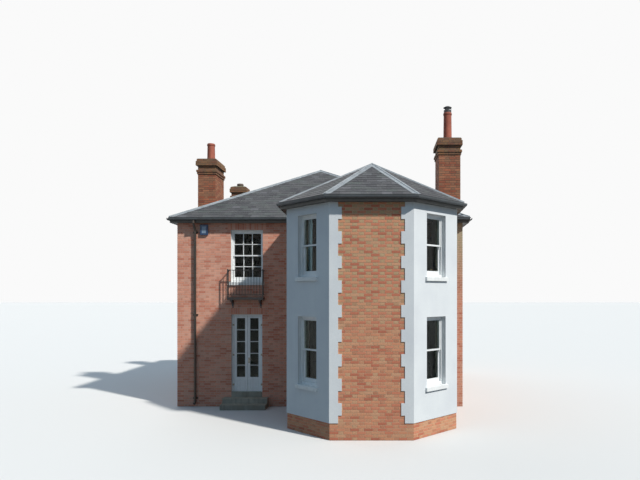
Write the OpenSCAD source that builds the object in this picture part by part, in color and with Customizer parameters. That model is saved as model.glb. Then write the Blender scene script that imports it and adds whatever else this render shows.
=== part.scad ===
// Brick house with a canted end wing
//
// A two-storey brick house under hipped slate roofs. A wing stands forward from the front wall, and its end
// is canted: a plain front facet between two facets at 45 degrees, each with a sash window on both storeys.
// Left of the wing, a pair of glazed door leaves opens outward under a sash window with a small balcony.
// Millimetres. +Z is up, the front looks along -Y and X runs to the right. The origin is on the ground,
// under the middle of the house's overall box.

/* [Main block] */
// Width of the main block, over its walls
block_w = 9060; // [8900:10:9600]
// Depth of the main block, over its walls
block_d = 8300; // [8000:10:8800]
// Thickness of the outer walls
wall_t = 330; // [300:1:360]
// Height of the tops of the walls
wall_top = 5850; // [5830:10:6000]

/* [Wing] */
// Width of the wing, over its side walls
wing_w = 4490; // [4400:10:4600]
// How far the wing stands forward from the front wall
wing_projection = 4100; // [3900:10:4400]
// Width of the wing's front facet
wing_end_w = 2054; // [1980:1:2100]
// Width of the front wall that shows right of the wing
front_wall_end_w = 621; // [560:1:700]

/* [Stucco] */
// Thickness of the stucco on the wing's canted sides
stucco_t = 22; // [15:1:30]
// Height of the stucco's foot, over a bare plinth
stucco_foot_z = 420; // [380:10:450]
// Width of the quoins' narrow steps, from the corner
quoin_narrow = 210; // [180:5:240]
// Width of the quoins' wide steps, from the corner
quoin_wide = 300; // [260:5:340]
// Courses of bricks in each step of the quoins
quoin_courses = 4; // [3:1:5]
// Distance of the first wide step below the tops of the walls
quoin_drop = 140; // [100:5:180]

/* [Floors] */
// Height of the ground floor
ground_floor_z = 450; // [420:10:480]
// Thickness of the ground floor
ground_floor_t = 150; // [120:10:200]
// Height of the first floor
first_floor_z = 3300; // [3250:10:3350]
// Thickness of the first floor
first_floor_t = 250; // [220:10:280]

/* [Roofs] */
// Height of the main roof's point
main_ridge_z = 8400; // [8200:10:8600]
// Where the main roof's point lies, left of the middle of the main block
main_point_left = 380; // [200:10:500]
// Height of the wing's ridge
wing_ridge_z = 7270; // [7150:10:7400]
// Upright thickness of the roofs, from slate to underside
roof_t = 180; // [150:5:220]
// Thickness of the slates at the eaves
slate_t = 25; // [20:1:40]
// How far the slates reach past the fascia
slate_reach = 30; // [20:1:45]

/* [Roof leads] */
// Width of the lead over each hip and ridge
lead_w = 220; // [180:5:260]
// Height of the lead over the roof's planes, where it lies on the slates
lead_t = 16; // [12:1:20]
// Radius of the roll under the lead, along each hip and ridge
lead_roll_r = 24; // [18:1:30]

/* [Eaves] */
// Width of the soffit, from the wall to the fascia
soffit_w = 160; // [150:1:180]
// Thickness of the soffit boards
soffit_t = 25; // [20:1:30]
// Thickness of the fascia boards
fascia_t = 20; // [18:1:28]
// How far the slates lie above the tops of the walls, at the eaves
eaves_rise = 115; // [100:1:130]
// How far the fascia hangs below the soffit
fascia_drop = 10; // [5:1:20]
// Width of the gutter
gutter_w = 100; // [90:1:110]
// Depth of the gutter
gutter_h = 75; // [65:1:85]
// Thickness of the gutter's wall
gutter_t = 5; // [4:1:8]

/* [Downpipes] */
// Diameter of the downpipes
pipe_d = 76; // [70:1:82]
// Space between a downpipe and the wall
pipe_gap = 30; // [20:1:40]
// Distance of the downpipes from the corners of the main block, to their middle
pipe_from_corner = 580; // [480:10:630]
// Drop of the slanted piece under the gutter
pipe_slant_drop = 240; // [200:10:300]
// Height of the foot of a downpipe
pipe_foot_z = 180; // [150:10:250]

/* [Wing windows] */
// Width of the wing's windows
facet_window_w = 760; // [720:1:800]
// Height of the upper sills
facet_upper_sill_z = 4010; // [3950:1:4050]
// Height of the upper window heads
facet_upper_head_z = 5606; // [5500:1:5640]
// Height of the lower sills
facet_lower_sill_z = 1240; // [1150:1:1280]
// Height of the lower window heads
facet_lower_head_z = 3000; // [2900:1:3040]
// Depth of the reveals in front of the wing's window frames, stucco included
facet_reveal = 120; // [100:1:140]

/* [Main windows] */
// Width of the main block's windows
window_w = 1010; // [940:1:1050]
// Height of the main block's windows, from sill to head
window_h = 1652; // [1600:1:1700]
// Height of the upper window heads
upper_head_z = 5606; // [5550:1:5640]
// Height of the lower window heads
lower_head_z = 2923; // [2880:1:2960]
// Depth of the reveals in front of the window frames
reveal = 110; // [90:1:125]
// Distance between the windows of the right and back walls, middle to middle
window_pitch = 2900; // [2700:10:3000]
// Middle of the right wall's first window, behind the front wall's face
side_window_y = 2700; // [2500:10:2900]

/* [Window joinery] */
// Width of the box frames' sides that shows
box_w = 35; // [25:1:60]
// Height of the box frames' heads
box_head = 60; // [45:1:75]
// Depth of the box frames
box_d = 130; // [120:1:150]
// Height of the timber sill under the lower sash
timber_sill_h = 70; // [60:1:80]
// Thickness of the sashes
sash_t = 45; // [40:1:50]
// Width of a sash's sides and top
sash_stile = 45; // [40:1:55]
// Height of a sash's bottom rail
sash_bottom = 90; // [80:1:100]
// Height of the rail where the sashes meet
sash_meeting = 40; // [34:1:46]
// Thickness of the glass
glass_t = 6; // [4:1:8]
// Share of the window's height that the lower sash takes
lower_sash_share = 0.51; // [0.5:0.01:0.55]

/* [Stone sills] */
// Thickness of the stone sills
sill_t = 100; // [80:1:110]
// How far the sills stand out from the wall
sill_out = 55; // [40:1:70]
// How far the sills run past each side of the window
sill_horn = 55; // [40:1:70]
// Fall of a sill's top, from the wall's face to its nose
sill_fall = 12; // [5:1:20]
// Width and depth of the drip groove under a sill
sill_groove = 10; // [6:1:12]

/* [Glazed doors] */
// Middle of the doorway, from the main block's left corner
door_from_corner = 2205; // [2130:1:2250]
// Width of the doorway
door_w = 978; // [950:1:1050]
// Height of the doorway's head
door_head_z = 2923; // [2850:1:2960]
// Depth of the reveal in front of the door frame
door_reveal = 110; // [90:1:125]
// Width of the frame's posts and head
door_post = 56; // [56:1:70]
// Depth of the frame
door_frame_d = 110; // [90:1:130]
// Thickness of a leaf
leaf_t = 40; // [36:1:45]
// Width of a leaf's outer stile
leaf_stile = 80; // [75:1:100]
// Width of a leaf's meeting stile
leaf_meeting = 75; // [65:1:85]
// Height of a leaf's top rail
leaf_top = 60; // [55:1:90]
// Height of a leaf's bottom rail
leaf_bottom = 460; // [380:1:500]
// Gap between a leaf and the frame
leaf_gap = 5; // [5:0.5:7]
// Gap between the two leaves
meeting_gap = 10; // [10:0.5:12]
// Gap between a leaf and the threshold
foot_gap = 8; // [6:0.5:10]

/* [Door hinges] */
// Radius of the hinges' barrels
barrel_r = 9; // [8:0.5:11]
// Length of each barrel
barrel_l = 60; // [50:1:70]
// Radius of the hinges' pins
pin_r = 5; // [4:0.5:6]
// Running clearance round and under the moving barrels
pin_gap = 0.3; // [0.2:0.05:0.4]
// Thickness of the hinges' flaps
flap_t = 3; // [2:0.5:4]
// Width of the hinges' flaps
flap_w = 45; // [35:1:50]
// Distance of the end hinges from a leaf's ends
hinge_inset = 250; // [200:10:350]

/* [Doorstep] */
// Width of the steps
step_w = 1400; // [1250:10:1500]
// Tread of each step
step_tread = 300; // [270:10:330]
// Number of steps below the threshold
step_count = 2; // [2:1:3]

/* [Balcony] */
// Width of the balcony
balcony_w = 1130; // [1080:10:1200]
// How far the balcony stands out from the wall
balcony_out = 250; // [220:10:320]
// Height of the balcony's floor
balcony_z = 3470; // [3440:10:3500]
// Thickness of the balcony's floor
balcony_t = 80; // [60:5:100]
// Height of the top of the railing
balcony_rail_z = 4330; // [4250:10:4400]
// Side of a railing post
balcony_post = 26; // [22:1:30]
// Height of a railing's rails
balcony_rail_h = 22; // [18:1:28]
// Diameter of a baluster
baluster_d = 13; // [10:1:16]
// Greatest space between balusters, middle to middle
baluster_pitch = 95; // [85:1:110]
// Width of the brackets under the balcony
bracket_w = 60; // [50:1:80]
// Height of the brackets at the wall
bracket_h = 260; // [220:5:300]
// Height of the brackets at their outer end
bracket_nose = 50; // [40:1:60]
// Distance of the brackets' outer end from the balcony's front
bracket_inset = 38; // [20:1:60]

/* [Chimneys] */
// Height of the right chimney's brickwork
right_stack_z = 8545; // [8450:5:8650]
// Height of the left chimney's brickwork
left_stack_z = 8235; // [8150:5:8350]
// Height of the rear chimney's brickwork
rear_stack_z = 8120; // [8050:5:8200]
// Width of the right chimney
right_stack_w = 686; // [660:1:700]
// Depth of the right chimney
right_stack_d = 1000; // [900:10:1100]
// Width of the left chimneys
left_stack_w = 600; // [560:1:640]
// Depth of the left chimney
left_stack_d = 1050; // [950:10:1150]
// Depth of the rear chimney
rear_stack_d = 620; // [560:10:680]
// How far the right chimney stands in from the outer faces of the walls
right_stack_inset = 60; // [40:1:90]
// How far the left chimneys stand in from the left wall's outer face
left_stack_inset = 160; // [120:1:200]
// Front of the left chimney, behind the front wall's face
left_stack_y = 1560; // [1450:10:1650]
// Front of the rear chimney, behind the front wall's face
rear_stack_y = 6060; // [5950:10:6150]
// Height of one course of bricks
course = 75; // [72:1:78]
// How far the chimneys' caps stand out
cap_out = 62; // [50:1:75]
// Height of the sloping mortar round the pots
flaunching_h = 70; // [50:5:90]
// Height of that mortar at its edge, and its distance from the cap's edge
flaunching_edge = 15; // [10:1:25]
// Width of its level top, round a pot
flaunching_top = 25; // [15:1:40]

/* [Chimney pots] */
// Height of the right pot
right_pot_h = 960; // [900:10:1000]
// Height of the left pot
left_pot_h = 660; // [600:10:700]
// Height of the rear pot
rear_pot_h = 190; // [170:10:250]
// Radius of a pot at its foot
pot_r = 155; // [140:1:170]
// Thickness of a pot's wall
pot_t = 28; // [22:1:34]
// Radius of a pot under its rim
pot_neck_r = 127; // [115:1:135]
// Height of the band at a pot's foot
pot_band_h = 50; // [40:1:60]
// How far that band stands out
pot_band_out = 18; // [12:1:24]
// Height of a pot's rolled rim
pot_rim_h = 70; // [60:1:80]
// How far the rim stands out
pot_rim_out = 14; // [10:1:20]
// Height of the cowl on the right pot
cowl_h = 230; // [200:5:260]
// Height of the cowl's drum
cowl_drum_h = 80; // [70:1:90]
// Height of the underside of the cowl's cap
cowl_cap_z = 161; // [150:1:170]
// Radius of the cowl's drum
cowl_r = 124; // [110:1:130]
// Thickness of the cowl's wall
cowl_t = 12; // [8:1:16]

/* [Alarm box] */
// Width of the alarm box
alarm_w = 250; // [220:5:280]
// Height of the alarm box
alarm_h = 330; // [300:5:360]
// Depth of the alarm box
alarm_d = 70; // [60:1:80]
// Space between the downpipe's middle and the alarm box
alarm_from_pipe = 150; // [130:5:180]
// Space between the tops of the walls and the alarm box
alarm_drop = 80; // [70:5:120]

/* [Hidden] */
$fn = 32;

// Small step that carries a cut past the face that it cuts
over = 1;
// Space left between like pieces of one node, so that they stay separate solids
joint_gap = 0.3;

// Plan of the walls' outer faces, anticlockwise from the main block's front left corner
block_front = -(block_d + wing_projection) / 2 + wing_projection;
block_back = block_front + block_d;
wing_front = block_front - wing_projection;
wing_right = block_w / 2 - front_wall_end_w;
wing_left = wing_right - wing_w;
wing_offset = (wing_left + wing_right) / 2;
cant = (wing_w - wing_end_w) / 2;
PLAN = [
    [-block_w / 2, block_front],
    [wing_left, block_front],
    [wing_left, wing_front + cant],
    [wing_offset - wing_end_w / 2, wing_front],
    [wing_offset + wing_end_w / 2, wing_front],
    [wing_right, wing_front + cant],
    [wing_right, block_front],
    [block_w / 2, block_front],
    [block_w / 2, block_back],
    [-block_w / 2, block_back]
];

// Sides of the plan by their number
FRONT = 0;
WING_LEFT = 1;
LEFT_FACET = 2;
FRONT_FACET = 3;
RIGHT_FACET = 4;
WING_RIGHT = 5;
FRONT_END = 6;
RIGHT = 7;
BACK = 8;
LEFT = 9;
SIDES = [0 : len(PLAN) - 1];

function point(i) = PLAN[(i + len(PLAN)) % len(PLAN)];
function side_length(i) = norm(point(i + 1) - point(i));
function along(i) = (point(i + 1) - point(i)) / side_length(i);
function outward(i) = [along(i).y, -along(i).x];
// A corner of the plan moved out by r, so that both walls at it move by r
function corner(i, r) = point(i) + r * (outward(i - 1) + outward(i)) / (1 + outward(i - 1) * outward(i));
// The strip of side i between r0 and r1 out from the wall's face, mitred at both corners
function strip(i, r0, r1) = [corner(i, r0), corner(i + 1, r0), corner(i + 1, r1), corner(i, r1)];
// The same strip drawn in by gap at each end
function short_strip(i, r0, r1, gap) = [
    corner(i, r0) + gap * along(i), corner(i + 1, r0) - gap * along(i),
    corner(i + 1, r1) - gap * along(i), corner(i, r1) + gap * along(i)
];

// Places children on side i's outer face, s along it: x along the wall, y into it
module on_side(i, s, z = 0) {
    place = point(i) + s * along(i);
    translate([place.x, place.y, z]) rotate([0, 0, atan2(along(i).y, along(i).x)]) children();
}

module prism(points, z0, z1) {
    translate([0, 0, z0]) linear_extrude(z1 - z0) polygon(points);
}

// A block from one corner to the opposite one
module block(low, high) {
    translate(low) cube(high - low);
}

// Windows: each is [side, middle along the side, width, sill height, head height, reveal, stucco in front]
upper_sill_z = upper_head_z - window_h;
lower_sill_z = lower_head_z - window_h;
left_gap_mid = (left_stack_y + left_stack_d + rear_stack_y) / 2;

function pair(i, s) = [
    [i, s, window_w, upper_sill_z, upper_head_z, reveal, 0],
    [i, s, window_w, lower_sill_z, lower_head_z, reveal, 0]
];
function facet_window(i, sill_z, head_z) =
    [i, side_length(i) / 2, facet_window_w, sill_z, head_z, facet_reveal - stucco_t, stucco_t];
function facet_pair(i) = [
    facet_window(i, facet_upper_sill_z, facet_upper_head_z),
    facet_window(i, facet_lower_sill_z, facet_lower_head_z)
];
FRONT_WINDOW = [FRONT, door_from_corner, window_w, upper_sill_z, upper_head_z, reveal, 0];
WING_WINDOWS = concat(facet_pair(LEFT_FACET), facet_pair(RIGHT_FACET));
SIDE_WINDOWS = concat(
    pair(LEFT, block_d - left_gap_mid),
    pair(RIGHT, side_window_y),
    pair(RIGHT, side_window_y + window_pitch)
);
BACK_WINDOWS = [for (k = [-1, 0, 1]) each pair(BACK, block_w / 2 + k * window_pitch)];
WINDOWS = concat([FRONT_WINDOW], WING_WINDOWS, SIDE_WINDOWS, BACK_WINDOWS);

// Walls

// What a window takes out of its wall: the opening, and the bed of its stone sill
module window_cut(w) {
    front = -w[6] - over;
    on_side(w[0], w[1]) {
        block([-w[2] / 2, front, w[3]], [w[2] / 2, wall_t + over, w[4]]);
        block([-w[2] / 2 - sill_horn, front, w[3] - sill_t], [w[2] / 2 + sill_horn, w[5] + box_d, w[3]]);
    }
}

module wall(i, z0 = 0) {
    color("firebrick") difference() {
        prism(strip(i, -wall_t, 0), z0, wall_top);
        for (w = WINDOWS) if (w[0] == i) window_cut(w);
    }
}

door_x = door_from_corner - block_w / 2;
module front_wall_beside_door(left) {
    edge = door_x + (left ? -door_w / 2 : door_w / 2);
    end = left ? FRONT : FRONT + 1;
    color("firebrick") prism([
        corner(end, 0), [edge, block_front], [edge, block_front + wall_t], corner(end, -wall_t)
    ], 0, door_head_z);
}

// Outline of the stucco on side i and of its returns round both corners, each w long
function stucco_outline(i, w) = [
    point(i) - w * along(i - 1), point(i), point(i + 1), point(i + 1) + w * along(i + 1),
    point(i + 1) + w * along(i + 1) + stucco_t * outward(i + 1), corner(i + 1, stucco_t),
    corner(i, stucco_t), point(i) - w * along(i - 1) + stucco_t * outward(i - 1)
];

// The stucco ends on the neighbouring walls in quoins, whose steps are narrow and wide by turns
module stucco(i) {
    step_h = quoin_courses * course;
    top = wall_top - soffit_t;
    first = wall_top - quoin_drop;
    color("white") difference() {
        prism(stucco_outline(i, quoin_wide), stucco_foot_z, top);
        for (z = [first : -2 * step_h : stucco_foot_z - step_h]) {
            foot = max(z, stucco_foot_z - over);
            head = min(z + step_h, top + over);
            on_side(i - 1, side_length(i - 1) - quoin_wide)
                block([-over, -stucco_t - over, foot], [quoin_wide - quoin_narrow, over, head]);
            on_side(i + 1, quoin_narrow)
                block([0, -stucco_t - over, foot], [quoin_wide - quoin_narrow + over, over, head]);
        }
        for (w = WINDOWS) if (w[0] == i) window_cut(w);
    }
}

// Floors

module floor_plate(z, t) {
    color("burlywood") difference() {
        prism([for (i = SIDES) corner(i, -wall_t)], z - t, z);
        chimney_breasts();
    }
}

// Roofs

slate_z = wall_top + eaves_rise;
slate_r = soffit_w + fascia_t + slate_reach;
wing_point = [wing_offset, wing_front + wing_w / 2];
main_point = [-main_point_left, block_front + block_d / 2];
facet_run = (wing_w + wing_end_w) / 2 / sqrt(2);

// One slope: [the way it falls, how far its wall's face lies from the roof's point]
MAIN_SLOPES = [
    [0, block_w / 2 - main_point.x], [180, block_w / 2 + main_point.x],
    [-90, block_d / 2], [90, block_d / 2]
];
WING_SLOPES = [[0, wing_w / 2], [180, wing_w / 2], [-90, wing_w / 2], [-135, facet_run], [-45, facet_run]];
slope_reach = block_w + block_d;

// Height of the slates over a place at distance u from the roof's point
function slate_height(run, ridge_z, u) =
    ridge_z - (ridge_z - slate_z - slate_t) * u / (run + slate_r);

// Section of one slope with its eaves, drawn from the roof's point outward, and back to `far` behind it
function slope_section(run, ridge_z, far) = [
    [run + soffit_w, wall_top], [run + soffit_w, slate_z], [run + slate_r, slate_z],
    [run + slate_r, slate_z + slate_t], [0, ridge_z], [-far, ridge_z], [-far, wall_top]
];
// Section of the loft under it
function loft_section(run, ridge_z, far) = [
    [run - wall_t, wall_top - over], [run - wall_t, slate_height(run, ridge_z, run - wall_t) - roof_t],
    [0, ridge_z - roof_t], [-far, ridge_z - roof_t], [-far, wall_top - over]
];

// Section of what lies under the upper side of the leads
function lead_section(run, ridge_z, far) = [
    [run + slate_r + over, slate_z + slate_t / 2],
    [run + slate_r + over, slate_height(run, ridge_z, run + slate_r + over) + lead_t],
    [0, ridge_z + lead_t], [-far, ridge_z + lead_t], [-far, slate_z + slate_t / 2]
];

module slope(angle, section) {
    rotate([90, 0, angle]) linear_extrude(2 * slope_reach, center = true) polygon(section);
}

module main_roof_mass() {
    translate(main_point) intersection_for(s = MAIN_SLOPES)
        slope(s[0], slope_section(s[1], main_ridge_z, slope_reach));
}

module main_loft() {
    translate(main_point) intersection_for(s = MAIN_SLOPES)
        slope(s[0], loft_section(s[1], main_ridge_z, slope_reach));
}

// How far the wing's roof runs back from its point, to the middle of the main roof
wing_back_run = main_point.y - wing_point.y;

module wing_roof_mass() {
    translate(wing_point) intersection_for(s = WING_SLOPES)
        slope(s[0], slope_section(s[1], wing_ridge_z, s[0] == -90 ? wing_back_run : slope_reach));
}

module wing_loft() {
    translate(wing_point) intersection_for(s = WING_SLOPES)
        slope(s[0], loft_section(s[1], wing_ridge_z, s[0] == -90 ? wing_back_run : slope_reach));
}

module under_main_leads() {
    translate(main_point) intersection_for(s = MAIN_SLOPES)
        slope(s[0], lead_section(s[1], main_ridge_z, slope_reach));
}

module under_wing_leads() {
    translate(wing_point) intersection_for(s = WING_SLOPES)
        slope(s[0], lead_section(s[1], wing_ridge_z, s[0] == -90 ? wing_back_run - over : slope_reach));
}

module main_roof() {
    color("slategray") difference() {
        main_roof_mass();
        main_loft();
        chimney_shafts();
    }
}

module wing_roof() {
    color("slategray") difference() {
        wing_roof_mass();
        wing_loft();
        main_roof_mass();
        chimney_shafts();
    }
}

// An upright band over the line from a to b in plan
module upright_band(a, b, w) {
    run = norm(b - a);
    translate([a.x, a.y, wall_top]) rotate([0, 0, atan2(b.y - a.y, b.x - a.x)])
        block([0, -w / 2, 0], [run, w / 2, main_ridge_z]);
}

function block_corner(i, r) = [
    (i == 0 || i == 3 ? -1 : 1) * (block_w / 2 + r),
    (i < 2 ? block_front - r : block_back + r)
];

// A roll along a hip, from over the eaves' corner at c to the roof's point
module hip_roll(c, apex, ridge_z) {
    bar([c.x, c.y, slate_z + slate_t + lead_t / 2], [apex.x, apex.y, ridge_z + lead_t / 2], lead_roll_r);
}

// The knob where the rolls meet
module roll_knob(apex, ridge_z) {
    translate([apex.x, apex.y, ridge_z + lead_t / 2]) sphere(r = lead_roll_r + lead_t / 2);
}

// Everything over the walls' tops inside an outline
module over_outline(points) {
    prism(points, wall_top, main_ridge_z + slope_reach);
}

lead_end_r = slate_r - lead_t / 4;

module main_roof_leads() {
    color("lightgray") difference() {
        intersection() {
            over_outline([for (i = [0 : 3]) block_corner(i, lead_end_r)]);
            union() {
                intersection() {
                    under_main_leads();
                    union() for (i = [0 : 3]) upright_band(block_corner(i, slate_r), main_point, lead_w);
                }
                for (i = [0 : 3]) hip_roll(block_corner(i, slate_r), main_point, main_ridge_z);
                roll_knob(main_point, main_ridge_z);
            }
        }
        main_roof_mass();
        chimney_shafts();
    }
}

module wing_roof_leads() {
    ridge_end = [wing_offset, main_point.y];
    color("lightgray") difference() {
        intersection() {
            over_outline([for (i = SIDES) corner(i, lead_end_r)]);
            union() {
                intersection() {
                    under_wing_leads();
                    union() {
                        for (i = [LEFT_FACET : WING_RIGHT])
                            upright_band(corner(i, slate_r), wing_point, lead_w);
                        upright_band(wing_point, ridge_end, lead_w);
                    }
                }
                for (i = [LEFT_FACET : WING_RIGHT]) hip_roll(corner(i, slate_r), wing_point, wing_ridge_z);
                bar([wing_point.x, wing_point.y, wing_ridge_z + lead_t / 2],
                    [ridge_end.x, ridge_end.y, wing_ridge_z + lead_t / 2], lead_roll_r);
                roll_knob(wing_point, wing_ridge_z);
            }
        }
        wing_roof_mass();
        under_main_leads();
    }
}

// Eaves

module soffits() {
    color("dimgray") for (i = SIDES)
        prism(short_strip(i, joint_gap, soffit_w, joint_gap), wall_top - soffit_t, wall_top);
}

fascia_foot = wall_top - soffit_t - fascia_drop;
module fascias() {
    color("dimgray") for (i = SIDES)
        prism(short_strip(i, soffit_w, soffit_w + fascia_t, joint_gap), fascia_foot, slate_z);
}

gutter_back = soffit_w + fascia_t;
gutter_mid = gutter_back + gutter_w / 2;
gutter_rim = slate_z - joint_gap;
gutter_axis_z = gutter_rim - gutter_h + gutter_w / 2;

// A trough along x, round below and upright above
module trough(length, radius, rim) {
    rotate([0, 90, 0]) cylinder(r = radius, h = length);
    block([0, -radius, 0], [length, radius, rim]);
}

module gutter(i) {
    length = side_length(i) + 4 * gutter_w;
    intersection() {
        on_side(i, -2 * gutter_w) translate([0, -gutter_mid, gutter_axis_z]) difference() {
            trough(length, gutter_w / 2, gutter_rim - gutter_axis_z);
            translate([-over, 0, 0])
                trough(length + 2 * over, gutter_w / 2 - gutter_t, gutter_rim - gutter_axis_z + over);
        }
        prism(short_strip(i, gutter_back, gutter_back + gutter_w + over, joint_gap), fascia_foot, slate_z);
    }
}

module gutters() {
    color("darkslategray") for (i = SIDES) gutter(i);
}

pipe_y = -pipe_gap - pipe_d / 2;
pipe_top = gutter_axis_z - gutter_w / 2;
pipe_bend = pipe_top - pipe_d;
pipe_straight_top = pipe_bend - pipe_slant_drop;
pipe_collar_l = 60;
pipe_collar_t = 7;

// A round bar between two points
module bar(a, b, r) {
    v = b - a;
    translate(a) rotate([0, acos(v.z / norm(v)), atan2(v.y, v.x)]) cylinder(r = r, h = norm(v));
}

module downpipe(i, s) {
    gutter_y = -gutter_mid;
    shoe = [0, pipe_y - pipe_d, pipe_foot_z - pipe_d];
    collars = [pipe_foot_z + pipe_collar_l, (pipe_foot_z + pipe_straight_top) / 2, pipe_straight_top - pipe_d];
    on_side(i, s) {
        bar([0, gutter_y, pipe_bend], [0, gutter_y, pipe_top], pipe_d / 2);
        bar([0, pipe_y, pipe_straight_top], [0, gutter_y, pipe_bend], pipe_d / 2);
        bar([0, pipe_y, pipe_foot_z], [0, pipe_y, pipe_straight_top], pipe_d / 2);
        bar(shoe, [0, pipe_y, pipe_foot_z], pipe_d / 2);
        for (p = [[0, gutter_y, pipe_bend], [0, pipe_y, pipe_straight_top], [0, pipe_y, pipe_foot_z]])
            translate(p) sphere(r = pipe_d / 2 + pipe_collar_t);
        for (z = collars) {
            translate([0, pipe_y, z]) cylinder(r = pipe_d / 2 + pipe_collar_t, h = pipe_collar_l);
            block([-pipe_d, -pipe_gap / 2, z], [pipe_d, 0, z + pipe_collar_l]);
            block([-pipe_d / 4, pipe_y, z], [pipe_d / 4, 0, z + pipe_collar_l]);
        }
    }
}

module downpipes() {
    color("black") {
        downpipe(FRONT, pipe_from_corner);
        downpipe(BACK, block_w - pipe_from_corner);
    }
}

// Chimneys: each is [low corner in plan, width, depth, top]
RIGHT_STACK = [
    [block_w / 2 - right_stack_inset - right_stack_w, block_front + right_stack_inset],
    right_stack_w, right_stack_d, right_stack_z
];
LEFT_STACK = [
    [-block_w / 2 + left_stack_inset, block_front + left_stack_y],
    left_stack_w, left_stack_d, left_stack_z
];
REAR_STACK = [
    [-block_w / 2 + left_stack_inset, block_front + rear_stack_y],
    left_stack_w, rear_stack_d, rear_stack_z
];
STACKS = [RIGHT_STACK, LEFT_STACK, REAR_STACK];

// The shaft over the walls' tops, grown by g
module shaft(s, g, z0, z1) {
    block([s[0].x - g, s[0].y - g, z0], [s[0].x + s[1] + g, s[0].y + s[2] + g, z1]);
}

module chimney_shafts() {
    for (s = STACKS) shaft(s, 0, wall_top - over, main_ridge_z + over);
}

// The breast below, which stands in the room against the walls
module breast(s) {
    inner_x = block_w / 2 - wall_t;
    block(
        [max(s[0].x, -inner_x), max(s[0].y, block_front + wall_t), 0],
        [min(s[0].x + s[1], inner_x), s[0].y + s[2], wall_top]
    );
}

module chimney_breasts() {
    for (s = STACKS) breast(s);
}

// Cap courses from the top: [courses above, courses high, share of cap_out]
CAP = [[0, 1, 0.55], [1, 2, 1], [5, 1, 0.75], [6, 1, 0.4]];

// Sloping mortar round the foot of a pot, on top of the brickwork
module flaunching(s) {
    top = [pot_r + flaunching_top, flaunching_h];
    half = [s[1] / 2 + CAP[0][2] * cap_out - flaunching_edge, s[2] / 2 + CAP[0][2] * cap_out - flaunching_edge];
    translate(stack_middle(s)) difference() {
        intersection() {
            rotate([90, 0, 0]) linear_extrude(2 * half.y, center = true)
                polygon([[-half.x, -over], [half.x, -over], [half.x, flaunching_edge], top, [-top.x, top.y],
                    [-half.x, flaunching_edge]]);
            rotate([90, 0, 90]) linear_extrude(2 * half.x, center = true)
                polygon([[-half.y, -over], [half.y, -over], [half.y, flaunching_edge], top, [-top.x, top.y],
                    [-half.y, flaunching_edge]]);
        }
        cylinder(r = pot_r + joint_gap, h = flaunching_h + over);
    }
}

module chimney(s) {
    color("sienna") {
        breast(s);
        shaft(s, 0, wall_top, s[3]);
        for (c = CAP) shaft(s, c[2] * cap_out, s[3] - (c[0] + c[1]) * course, s[3] - c[0] * course);
        flaunching(s);
    }
}

function stack_middle(s) = [s[0].x + s[1] / 2, s[0].y + s[2] / 2, s[3]];

// A tapered pot with a rolled rim, open through the middle
module pot(s, h) {
    rim_foot = h - pot_rim_h;
    translate(stack_middle(s)) rotate_extrude() polygon([
        [pot_r - pot_t, 0], [pot_r, 0], [pot_r, pot_band_h], [pot_r - pot_band_out, pot_band_h + pot_band_out],
        [pot_neck_r, rim_foot - pot_rim_out], [pot_neck_r + pot_rim_out, rim_foot],
        [pot_neck_r + pot_rim_out, h - pot_rim_h / 2], [pot_neck_r, h], [pot_neck_r - pot_t, h]
    ]);
}

module chimney_pots() {
    color("indianred") {
        pot(RIGHT_STACK, right_pot_h);
        pot(LEFT_STACK, left_pot_h);
        pot(REAR_STACK, rear_pot_h);
    }
}

// A drum with a flat cap on three legs, seated on the right pot's rim
module chimney_cowl() {
    seat = stack_middle(RIGHT_STACK) + [0, 0, right_pot_h];
    cap_r = cowl_r + cowl_t;
    color("black") translate(seat) {
        difference() {
            cylinder(r = cowl_r, h = cowl_drum_h);
            translate([0, 0, -over]) cylinder(r = cowl_r - cowl_t, h = cowl_h);
        }
        for (a = [0 : 120 : 240]) rotate([0, 0, a])
            block([cowl_r - 1.5 * cowl_t, -cowl_t, 0], [cowl_r - cowl_t / 4, cowl_t, cowl_cap_z + cowl_t / 2]);
        translate([0, 0, cowl_cap_z]) rotate_extrude() polygon([
            [0, 0], [cap_r, 0], [cap_r, cowl_t], [cap_r / 2, (cowl_h - cowl_cap_z) * 0.7], [0, cowl_h - cowl_cap_z]
        ]);
    }
}

// Windows

// A frame in the XZ plane, y0 to y1: outside size and the widths of its members
module frame(x0, x1, z0, z1, y0, y1, side, bottom, top) {
    difference() {
        block([x0, y0, z0], [x1, y1, z1]);
        block([x0 + side, y0 - over, z0 + bottom], [x1 - side, y1 + over, z1 - top]);
    }
}

function meeting_z(w) = w[3] + timber_sill_h + (w[4] - w[3] - timber_sill_h - box_head) * lower_sash_share;
sash_inset = 20;

module window_frame(w) {
    half = w[2] / 2;
    mid = meeting_z(w);
    outer = w[5] + sash_inset;
    inner = outer + sash_t;
    color("white") on_side(w[0], w[1]) {
        frame(-half, half, w[3], w[4], w[5], w[5] + box_d, box_w, timber_sill_h, box_head);
        frame(-half + box_w, half - box_w, mid - sash_meeting / 2, w[4] - box_head,
            outer, inner, sash_stile, sash_meeting, sash_stile);
        frame(-half + box_w, half - box_w, w[3] + timber_sill_h, mid + sash_meeting / 2,
            inner, inner + sash_t, sash_stile, sash_bottom, sash_meeting);
    }
}

// Both panes of a window, each filling its sash
module window_glass(w) {
    half = w[2] / 2 - box_w - sash_stile;
    mid = meeting_z(w);
    outer = w[5] + sash_inset + (sash_t - glass_t) / 2;
    inner = outer + sash_t;
    color("lightblue") on_side(w[0], w[1]) {
        block([-half, outer, mid + sash_meeting / 2], [half, outer + glass_t, w[4] - box_head - sash_stile]);
        block([-half, inner, w[3] + timber_sill_h + sash_bottom],
            [half, inner + glass_t, mid - sash_meeting / 2]);
    }
}

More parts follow.
